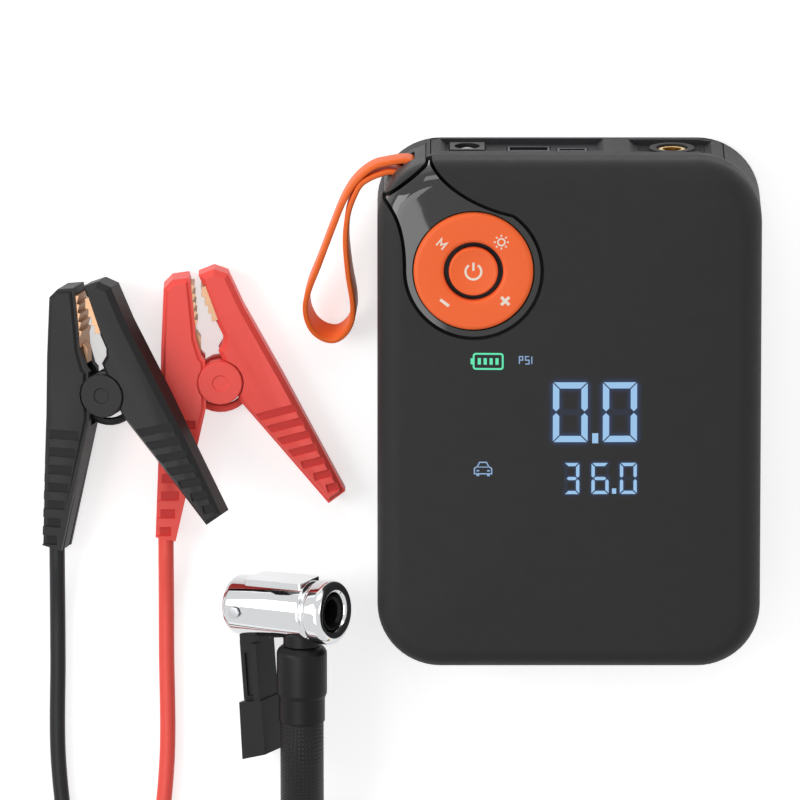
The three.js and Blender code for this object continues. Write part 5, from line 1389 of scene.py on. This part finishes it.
class Display:
    """Figures and signs that shine through the cover."""

    LIFT = 0.05
    DEPTH = 0.25
    WINDOW = (-10.0, 27.0, -29.0, 17.0)
    STEP = 0.5
    HALO = 1.1
    FALL = 1.4
    SKIN_LIFT = 0.02
    SKIN_DEPTH = 0.2
    GLOW_LEVEL = 0.22
    GLOW_COLOUR = (0.03, 0.10, 0.33)

    def __init__(self, casing: Casing) -> None:
        self.surface = casing.surface

    def inlay(self) -> Inlay:
        """An empty inlay on the cover."""
        return Inlay(self.surface, self.LIFT, self.DEPTH)

    def build_digits(self) -> None:
        """The lit segments, and the dark middle bars of the noughts."""
        lit, faint = self.inlay(), self.inlay()
        for digit in DIGITS:
            shapes = digit.segments()
            for key, outline in shapes.items():
                (lit if key in Digit.LIT[digit.figure] else faint).patch(outline)
        for x, y, w, h in DOTS:
            lit.patch([(x - w, y - h), (x + w, y - h), (x + w, y + h), (x - w, y + h)])
        lit.build("digits_lit", "segment_lit", Slot.DISPLAY)
        faint.build("digits_faint", "segment_faint", Slot.DISPLAY)

    def glow(self, places: np.ndarray) -> np.ndarray:
        """Share of the glow at each place, a bell curve of the distance to the lit lines."""
        near = np.full(len(places), np.inf)
        for digit in DIGITS:
            for start, end in digit.lines():
                way = end - start
                t = np.clip(((places - start) @ way) / (way @ way), 0, 1)
                off = np.linalg.norm(places - start - t[:, None] * way, axis=1) - digit.stroke / 2
                near = np.minimum(near, np.maximum(off, 0) / (self.HALO * digit.stroke / 2))
        return np.exp(-(near**2) * self.FALL)

    def build_halo(self) -> None:
        """A thin skin on the cover that glows near the lit segments."""
        x0, x1, y0, y1 = self.WINDOW
        xs, ys = np.arange(x0, x1, self.STEP), np.arange(y0, y1, self.STEP)
        gx, gy = np.meshgrid(xs, ys)
        flat = np.column_stack([gx.ravel(), gy.ravel()])
        glow = self.glow(flat)
        z = np.array([self.surface(x, y) for x, y in flat]) + self.SKIN_LIFT
        cols, rows = len(xs), len(ys)
        points = np.column_stack([flat, z])
        below = points - (0, 0, self.SKIN_DEPTH)
        faces: list[Face] = []
        half = cols * rows
        for j in range(rows - 1):
            for i in range(cols - 1):
                a = j * cols + i
                faces.append((a, a + 1, a + cols + 1, a + cols))
                faces.append((half + a, half + a + cols, half + a + cols + 1, half + a + 1))
        rim = [*range(cols), *range(2 * cols - 1, half, cols),
               *range(half - 2, half - cols - 1, -1), *range(half - 2 * cols, 0, -cols)]
        for a, b in zip(rim, rim[1:] + rim[:1]):
            faces.append((a, half + a, half + b, b))
        piece = add_mesh("display_glow", np.vstack([points, below]), faces, 60.0)
        attribute = piece.data.attributes.new("glow", "FLOAT", "POINT")
        attribute.data.foreach_set("value", np.concatenate([glow, glow]).astype(np.float32))
        shader = Shader("cover_glow", FINISHES[Slot.SOFT_TOUCH])
        piece.data.materials.append(shader.build())
        source = shader.node("ShaderNodeAttribute", attribute_name="glow")
        shader.bsdf.inputs["Emission Color"].default_value = (*self.GLOW_COLOUR, 1)
        level = shader.math("MULTIPLY", source.outputs["Fac"], self.GLOW_LEVEL)
        shader.link(level, shader.bsdf.inputs["Emission Strength"])
        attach(piece, "root")

    def build_signs(self) -> None:
        """Battery, unit and car signs."""
        battery = self.inlay()
        box = rounded_rectangle(9.6, 5.1, 0.7, 4) + (-26.9, 20.0)
        battery.ribbon(box, 0.6, closed=True)
        battery.patch([(-32.7, 19.0), (-32.0, 19.0), (-32.0, 21.0), (-32.7, 21.0)])
        for i in range(4):
            x = -30.35 + i * 1.95
            battery.patch([(x, 18.9), (x + 1.05, 18.9), (x + 1.05, 21.1), (x, 21.1)])
        battery.build("battery_sign", "icon_green", Slot.DISPLAY)

        text = self.inlay()
        x, low, high, mid, w = -16.6, 19.2, 21.7, 20.5, 0.36
        text.ribbon([(x, low), (x, high), (x + 1.1, high), (x + 1.1, mid), (x, mid)], w)
        x += 2.0
        right = x + 1.2
        text.ribbon([(right, high), (x, high), (x, mid), (right, mid), (right, low), (x, low)], w)
        x += 2.1
        text.ribbon([(x, low), (x, high)], w)
        text.build("unit_sign", "icon_blue", Slot.DISPLAY)

        car = self.inlay()
        body = [(-31.4, -18.2), (-31.4, -16.4), (-30.4, -15.7), (-29.7, -14.3), (-27.4, -14.3),
                (-26.7, -15.7), (-25.7, -16.4), (-25.7, -18.2)]
        car.ribbon(body, 0.42, closed=True)
        car.ribbon([(-30.2, -15.9), (-26.9, -15.9)], 0.3)
        for x in (-30.7, -27.2):
            car.patch([(x, -19.0), (x + 0.9, -19.0), (x + 0.9, -18.3), (x, -18.3)])
            car.patch([(x, -17.4), (x + 0.9, -17.4), (x + 0.9, -16.9), (x, -16.9)])
        car.build("car_sign", "icon_blue", Slot.DISPLAY)

    def build(self) -> None:
        """Makes the display's pieces."""
        self.build_halo()
        self.build_digits()
        self.build_signs()


# ---- Strap, leads and hose ------------------------------------------------------------


@dataclass(frozen=True)
class Strap:
    """The closed rubber band that stands on edge in the anchor's slot.

    Places are those of its upper edge, from the pin. The edge drops with the square of the
    reach towards the loop's end, and the band leans over by the slope of that drop.
    """

    pin: tuple[float, float] = (-53.5, 80.5)
    eye: float = 2.4
    top: float = 25.5
    width: float = 9.0
    thickness: float = 1.8
    turn: float = 16.1
    sag: float = 0.00355
    places: tuple = (
        (-7.5, 1.4), (-10.8, 0.4), (-14.2, -1.9), (-17.6, -5.5), (-20.9, -11.1), (-25, -21.7),
        (-29.6, -34.9), (-32.8, -43.9), (-34, -49.6), (-33.4, -55.2), (-31.1, -59.8),
        (-27.5, -62.3), (-24.2, -62.5), (-20.8, -59.8), (-18.5, -54.6), (-18.3, -48.6),
        (-19.8, -37.3), (-20.6, -24.5), (-19.5, -15.2), (-17.6, -9.7), (-15.4, -5.7),
        (-12.4, -3.6), (-9.1, -2.2), (-5.8, -1.4),
    )

    def build(self) -> None:
        """Sweeps the band along its loop."""
        eye = arc(self.eye, -90, 90, 5)
        edge = spline([(x, y, 0) for x, y in (*eye, *self.places)], 0.8, closed=True)
        way = np.array([-math.sin(math.radians(self.turn)), -math.cos(math.radians(self.turn)), 0])
        reach = np.maximum(edge @ way, 0)
        lean = np.arctan(2 * self.sag * reach)[:, None]
        up = way * np.sin(lean) + np.array([0, 0, 1]) * np.cos(lean)
        edge[:, 2] = self.top - self.sag * reach**2
        path = edge - up * self.width / 2 + (*self.pin, 0)
        section = rounded_rectangle(self.thickness, self.width, 0.6, 4)
        band = sweep("strap_band", path, section, closed=True, up=up)
        dress(band, Slot.STRAP, "wrist_strap")


def cord_path(name: str, route: Sequence[Point]) -> tuple[np.ndarray, float]:
    """A cord's smooth path through its route, and its length."""
    path = spline(route, CORD_STEP)
    length = float(np.linalg.norm(np.diff(path, axis=0), axis=1).sum())
    log.info("%s is %.0f mm long", name, length)
    return path, length


@dataclass(frozen=True)
class Lead:
    """One clamp's lead: from the bore in its handle to the plug."""

    name: str
    node: str
    start: tuple[float, float, float]
    end: tuple[float, float, float]
    slot: Slot
    diameter: float = 5.2
    gap: float = 0.15

    def route(self) -> list[tuple[float, float, float]]:
        """Points of the route, as in the CAD source."""
        low = self.diameter / 2 + self.gap
        (x, y, z), (ex, ey, ez) = self.start, self.end
        return [
            (x, y, z), (x, y - 9, z), (x, y - 26, low + 0.6), (x, y - 44, low), (x, -128, low),
            (x * 0.75 + ex * 0.25, -160, low), (x * 0.15 + ex * 0.85, ey + 34, low + 1),
            (ex, ey + 14, ez - 0.6), (ex, ey + 5, ez), (ex, ey, ez),
        ]

    def build(self) -> None:
        """Makes the lead as a swept cord."""
        path, length = cord_path(self.name, self.route())
        cord = sweep(self.name, path, circle(self.diameter / 2, 28))
        dress(cord, self.slot, self.node, finish="lead_" + self.slot.value)


@dataclass(frozen=True)
class Hose:
    """The braided air hose: down to the table, round a wide turn and up to its fitting."""

    name: str = "hose_braided"
    neck: tuple[float, float, float] = (-88.7, -109.1, 22.8)
    diameter: float = 14.5
    turn_radius: float = 62.0
    turn_y: float = -250.0
    end_y: float = -176.0
    fitting_z: float = 9.75
    gap: float = 0.15

    def route(self) -> list[tuple[float, float, float]]:
        """Points of the route, as in the CAD source."""
        x, y, z = self.neck
        low, far = self.diameter / 2 + self.gap, x + 2 * self.turn_radius
        points = [(x, y, z), (x, y - 10, z), (x, y - 38, 14.5), (x, y - 60, low + 1.6),
                  (x, y - 80, low + 0.1), (x, self.turn_y + 40, low)]
        for t in np.radians(np.arange(180, 361, 22.5)):
            points.append((x + self.turn_radius * (1 + math.cos(t)),
                           self.turn_y + self.turn_radius * math.sin(t), low))
        points += [(far, self.end_y - 20, self.fitting_z), (far, self.end_y, self.fitting_z)]
        return points

    def build(self) -> None:
        """Makes the hose as a swept cord."""
        path, length = cord_path(self.name, self.route())
        hose = sweep(self.name, path, circle(self.diameter / 2, 48))
        dress(hose, Slot.BRAID, "air_hose")


CLAMP_ROLL = 19.5
BORE_X = 18.3
PLUG = (-152.0, -231.7, 7.15)
PLUG_PITCH = 6.6
LEADS = (
    ("lead_black", "black_lead", Slot.RUBBER, -1,
     (-153.2 - BORE_X * math.cos(math.radians(CLAMP_ROLL)), -48.6,
      12.482 - BORE_X * math.sin(math.radians(CLAMP_ROLL)))),
    ("lead_red", "red_lead", Slot.RED, 1, (-115.8 - BORE_X, -45.6, 6.35)),
)


def build_cords() -> None:
    """Makes the leads, from the bores in the handles to the plug, and the hose."""
    for name, node, slot, side, start in LEADS:
        end = (PLUG[0] + side * PLUG_PITCH / 2, *PLUG[1:])
        Lead(name, node, start, end, slot).build()
    Hose().build()


# ---- Chuck ----------------------------------------------------------------------------


@dataclass(frozen=True)
class ChuckSizes:
    """Sizes of the tyre chuck's head, as in the CAD source."""

    rear: tuple[float, float, float] = (-110.7, -72.2, 7.8)
    turn: float = 4.0
    rise: float = 33.6
    length: float = 40.2
    radius: float = 10.2
    ring_radius: float = 10.85
    ring_length: float = 6.6
    bore_radius: float = 6.3
    bore_length: float = 10.0
    slot: float = 6.4
    pin_at: float = 6.5
    pin_radius: float = 1.6
    neck: tuple[float, float] = (-88.7, 22.8)
    neck_radius: float = 6.2
    neck_end: float = -82.5
    cap_width: float = 12.0
    cap_rise: float = 0.3
    groove: float = 1.1


class Chuck:
    """The chromed head, its neck and the rubber boot of the hose."""

    BOOT_RADIUS, BOOT_LENGTH = 8.4, 17.5
    SLEEVE_RADIUS, SLEEVE_LENGTH = 7.7, 8.5
    GAP = 0.3
    SHARP = 40.0

    def __init__(self, sizes: ChuckSizes) -> None:
        self.sizes = sizes
        self.place = (
            Matrix.Translation(sizes.rear)
            @ Matrix.Rotation(math.radians(sizes.turn), 4, "Z")
            @ Matrix.Rotation(-math.radians(sizes.rise), 4, "Y")
        )
        self.along_x = Matrix.Rotation(math.radians(90), 4, "Y")
        self.along_y = Matrix.Rotation(math.radians(-90), 4, "X")

    def moved(self, piece: bpy.types.Object) -> bpy.types.Object:
        """A piece of the head, put in the frame."""
        scale = Matrix.Diagonal((MM, MM, MM, 1))
        piece.data.transform(scale @ self.place @ scale.inverted())
        return piece

    def barrel_profile(self) -> list[tuple[float, float]]:
        """Half section of the head: rear edge, body, groove, front ring, lip and bore."""
        s = self.sizes
        front, bottom = s.length - s.ring_length, s.length - s.bore_length
        waist = s.radius - s.groove
        half, middle = (s.ring_radius - s.bore_radius) / 2, (s.ring_radius + s.bore_radius) / 2
        lip = [(middle + half * math.cos(t), s.length - half * (1 - math.sin(t)))
               for t in np.radians(np.linspace(0, 180, 13))]
        return rounded([
            (0, 0), (s.radius - 2.2, 0), (s.radius - 0.6, 0.8), (s.radius, 2.4),
            (s.radius, front - 2.4), (waist, front - 1.7), (waist, front - 0.3),
            (s.ring_radius - 0.5, front), (s.ring_radius, front + 0.8),
            *lip, (s.bore_radius, bottom), (0, bottom),
        ], 0.5)

    def build_head(self) -> None:
        """The head: barrel, flat cap, lever's slot, pin hole and bore."""
        s = self.sizes
        front, half = s.length - s.ring_length, s.slot / 2
        barrel = turned("chuck_chrome", self.barrel_profile(), 128, self.along_x, self.SHARP)
        cap = rounded_rectangle(front - 11, s.cap_width, 0.8, 4) + ((front + 5) / 2, 0)
        lid = prism("cap", cap, s.radius - 4, s.radius + s.cap_rise)
        lid.data.transform(Matrix.Rotation(-math.pi / 2, 4, "X"))
        unite(barrel, [lid], self.SHARP)
        slot = block("slot", (-1, -s.radius - 1, -half), (s.pin_at + 5, 5, half))
        pin = circle(s.pin_radius + self.GAP, 32) + (s.pin_at, 0)
        carve(barrel, [slot, prism("hole", pin, -s.radius - 2, s.radius + 2)], self.SHARP)
        dress(self.moved(barrel), Slot.CHROME, "chuck_head")

    def build_neck(self) -> None:
        """The dark neck between the boot and the head, open where it meets the bore."""
        s = self.sizes
        neck = turned(
            "chuck_neck",
            [(0, s.neck_end - s.rear[1]), (s.neck_radius, s.neck_end - s.rear[1]),
             (s.neck_radius, 0), (0, 0)],
            64, Matrix.Translation((s.neck[0], s.rear[1], s.neck[1])) @ self.along_y,
        )
        bottom, top = s.length - s.bore_length, s.length + 1
        core = [(0, bottom), (s.bore_radius, bottom), (s.bore_radius, top), (0, top)]
        carve(neck, [self.moved(turned("core", core, 64, self.along_x))])
        dress(neck, Slot.CHROME, finish=Slot.RUBBER)

    def build_boot(self) -> None:
        """The rubber boot with round shoulders and its thinner sleeve."""
        s, wide, thin = self.sizes, self.BOOT_RADIUS, self.SLEEVE_RADIUS
        low = -self.BOOT_LENGTH
        end = low - self.SLEEVE_LENGTH
        profile = rounded([
            (0, end), (thin - 0.3, end), (thin, end + 0.3), (thin, low), (wide - 0.5, low),
            (wide, low + 1.2), (wide, -2), (wide - 1, -0.6), (s.neck_radius + 0.2, 0), (0, 0),
        ], 0.9)
        at = Matrix.Translation((s.neck[0], s.neck_end - self.GAP, s.neck[1]))
        boot = turned("boot_rubber", profile, 80, at @ self.along_y)
        dress(boot, Slot.RUBBER, "hose_boot")

    def build(self) -> None:
        """Makes the chuck's pieces."""
        self.build_head()
        self.build_neck()
        self.build_boot()


# ---- Clamps ---------------------------------------------------------------------------


@dataclass(frozen=True)
class RecessShade:
    """Painted shade: darker skins on the floors of the recesses across a clamp's handles.

    Places are in the clamp's own frame, as in the CAD source: from its pivot, with X to the
    lever's side and Y to the jaws. half is half of the clamp's thickness at its pivot, and
    narrowing is what it loses on each face up to the handles' ends.
    """

    name: str
    pivot: tuple[float, float, float]
    roll: float
    slot: Slot
    half: float = 6.0
    narrowing: float = 1.4
    narrows_from: float = 8.0
    handle: float = 54.0
    lever: float = 42.0
    depth: float = 0.6
    edge: float = 1.31
    count: int = 7
    skin: float = 0.05
    handle_first: float = -14.5
    handle_pitch: float = 6.1
    handle_half: float = 1.5
    lever_first: float = 17.0
    lever_pitch: float = 5.7
    lever_half: float = 1.3
    lever_turn: float = -45.0
    band_turn: float = 15.0
    outer_edge: tuple = ((21.3, 1.0), (41.58, -37.62))
    inner_edge: tuple = ((35.99, -41.79), (6.5, -6.5))

    def floor(self, y: float, reach: float) -> float:
        """Height of a recess's floor over the clamp's middle, at a place along the handle."""
        share = min(max((-self.narrows_from - y) / (reach - self.narrows_from), 0.0), 1.0)
        return self.half - self.narrowing * share - self.depth

    def handle_bands(self) -> list[np.ndarray]:
        """Corners of each floor on the handle of the fixed half."""
        bands = []
        for i in range(self.count):
            y = self.handle_first - self.handle_pitch * i
            outer = -20 - 1.7 * (-8.6 - y) / 44.5 + self.edge
            inner = -4.7 + (y + 8.6) / (self.handle - 8.1) * 10.3 - 2.3
            z, low, high = self.floor(y, self.handle), y - self.handle_half, y + self.handle_half
            bands.append(np.array([(outer, low, z), (inner, low, z),
                                   (inner, high, z), (outer, high, z)]))
        return bands

    def lever_bands(self) -> list[np.ndarray]:
        """Corners of each floor on the lever, which end at its edges."""
        turn, lean = math.radians(self.band_turn), math.radians(self.lever_turn)
        along = np.array([math.cos(turn), math.sin(turn)])
        across = np.array([-along[1], along[0]])

        def reach_to(line: tuple, base: np.ndarray) -> float:
            start, end = (np.array(p) for p in line)
            way = (end - start) / np.linalg.norm(end - start)
            out = np.array([-way[1], way[0]])
            return float((-self.edge - (base - start) @ out) / (along @ out))

        bands = []
        for i in range(self.count):
            reach = self.lever_first + self.lever_pitch * i
            middle = reach * np.array([math.cos(lean), math.sin(lean)])
            z = self.floor(middle[1], self.lever)
            inner = -1.4 + 0.1 * i
            corners = []
            for v, ends in ((-self.lever_half, (0, 1)), (self.lever_half, (1, 0))):
                base = middle + v * across
                spans = (max(inner, reach_to(self.inner_edge, base)),
                         reach_to(self.outer_edge, base))
                corners += [(*(base + spans[end] * along), z) for end in ends]
            bands.append(np.array(corners))
        return bands

    def build(self) -> None:
        """Makes the painted shade on the recess floors of both handles, on both faces."""
        roll = math.radians(self.roll)
        turn = np.array([[math.cos(roll), 0, -math.sin(roll)], [0, 1, 0],
                         [math.sin(roll), 0, math.cos(roll)]])
        for part, body, bands in (("handle", "root", self.handle_bands()),
                                  ("lever", self.name + "_lever", self.lever_bands())):
            points, faces = [], []
            for band in bands:
                for side in (1, -1):
                    face, lift = band * (1, 1, side), np.array((0, 0, side * self.skin))
                    corners, shell = skin([face - lift, face + lift])
                    start = len(corners) * len(points)
                    faces += [tuple(start + c for c in ring) for ring in shell]
                    points.append(corners @ turn.T + self.pivot)
            made = add_mesh(f"{self.name}_{part}_grips", np.vstack(points), faces)
            # A darker copy of the clamp's colour: painted shade in the recesses.
            dress(made, self.slot, body=body, finish="painted_shade_" + self.name)


CLAMP_RECESS_SHADES = (
    RecessShade("black", (-153.2, 1.4, 12.482), 19.5, Slot.DARK),
    RecessShade("red", (-115.8, 4.4, 6.35), 0.0, Slot.RED),
)


# ---- Whole scene ----------------------------------------------------------------------

STAYING: tuple[tuple[Slot, float, tuple[str, ...]], ...] = (
    (Slot.KNURLED, 0.3, ("port_panel",)),
    (Slot.DARK, 0.3, ("torch_bezel", "jump_socket", "drive_gear", "lead_plug")),
    (Slot.DARK, 0.14, ("black_clamp_body", "black_clamp_lever", "black_pivot_pin", "chuck_lever")),
    (Slot.RED, 0.14, ("red_clamp_body", "red_clamp_lever", "red_pivot_pin")),
    (Slot.COPPER, 0.12, ("black_fixed_jaw", "black_moving_jaw", "red_fixed_jaw", "red_moving_jaw")),
    (Slot.STEEL, 0.0, ("black_spring", "red_spring")),
    (Slot.RUBBER, 0.0, ("black_link_wire", "keypad_mat", "air_tube")),
    (Slot.RED, 0.0, ("red_link_wire",)),
    (Slot.RUBBER, 0.2, ("chuck_seal", "socket_cover")),
    (Slot.STEEL, 0.12, ("lever_pin", "strap_pin", "compressor_motor",
                        "case_screw_1", "case_screw_2", "case_screw_3", "case_screw_4")),
    ("shell_dark", 0.12, ("usb_a_port", "usb_c_port")),
    (Slot.BRASS, 0.15, ("air_outlet", "hose_nipple", "hose_nut", "motor_pinion")),
    (Slot.LENS, 0.1, ("torch_lens",)),
    (Slot.CAST, 0.3, ("pump_frame",)),
    (Slot.DISPLAY, 0.3, ("display_module",)),
    (Slot.BOARD, 0.0, ("main_board",)),
    (Slot.POUCH, 0.4, ("battery_cell_1", "battery_cell_2", "battery_cell_3")),
)


def main() -> None:
    """Builds the scene round the frame."""
    logging.basicConfig(level=logging.INFO, format="%(name)s: %(message)s")
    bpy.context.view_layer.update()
    scene = bpy.context.scene
    scene.view_settings.view_transform = "Standard"
    View().build()
    build_cords()
    for lamp in LAMPS:
        lamp.build()
    Stage().build()
    case, pad = CaseSizes(), PadSizes()
    casing = Casing(case, pad)
    casing.build()
    ControlPad(pad).build()
    Display(casing).build()
    Strap().build()
    Chuck(ChuckSizes()).build()
    for recess_shade in CLAMP_RECESS_SHADES:
        recess_shade.build()
    dresser = CadDresser()
    for finish, edge, nodes in STAYING:
        for node in nodes:
            dresser.dress(node, finish, edge)


if __name__ == "__main__":
    main()
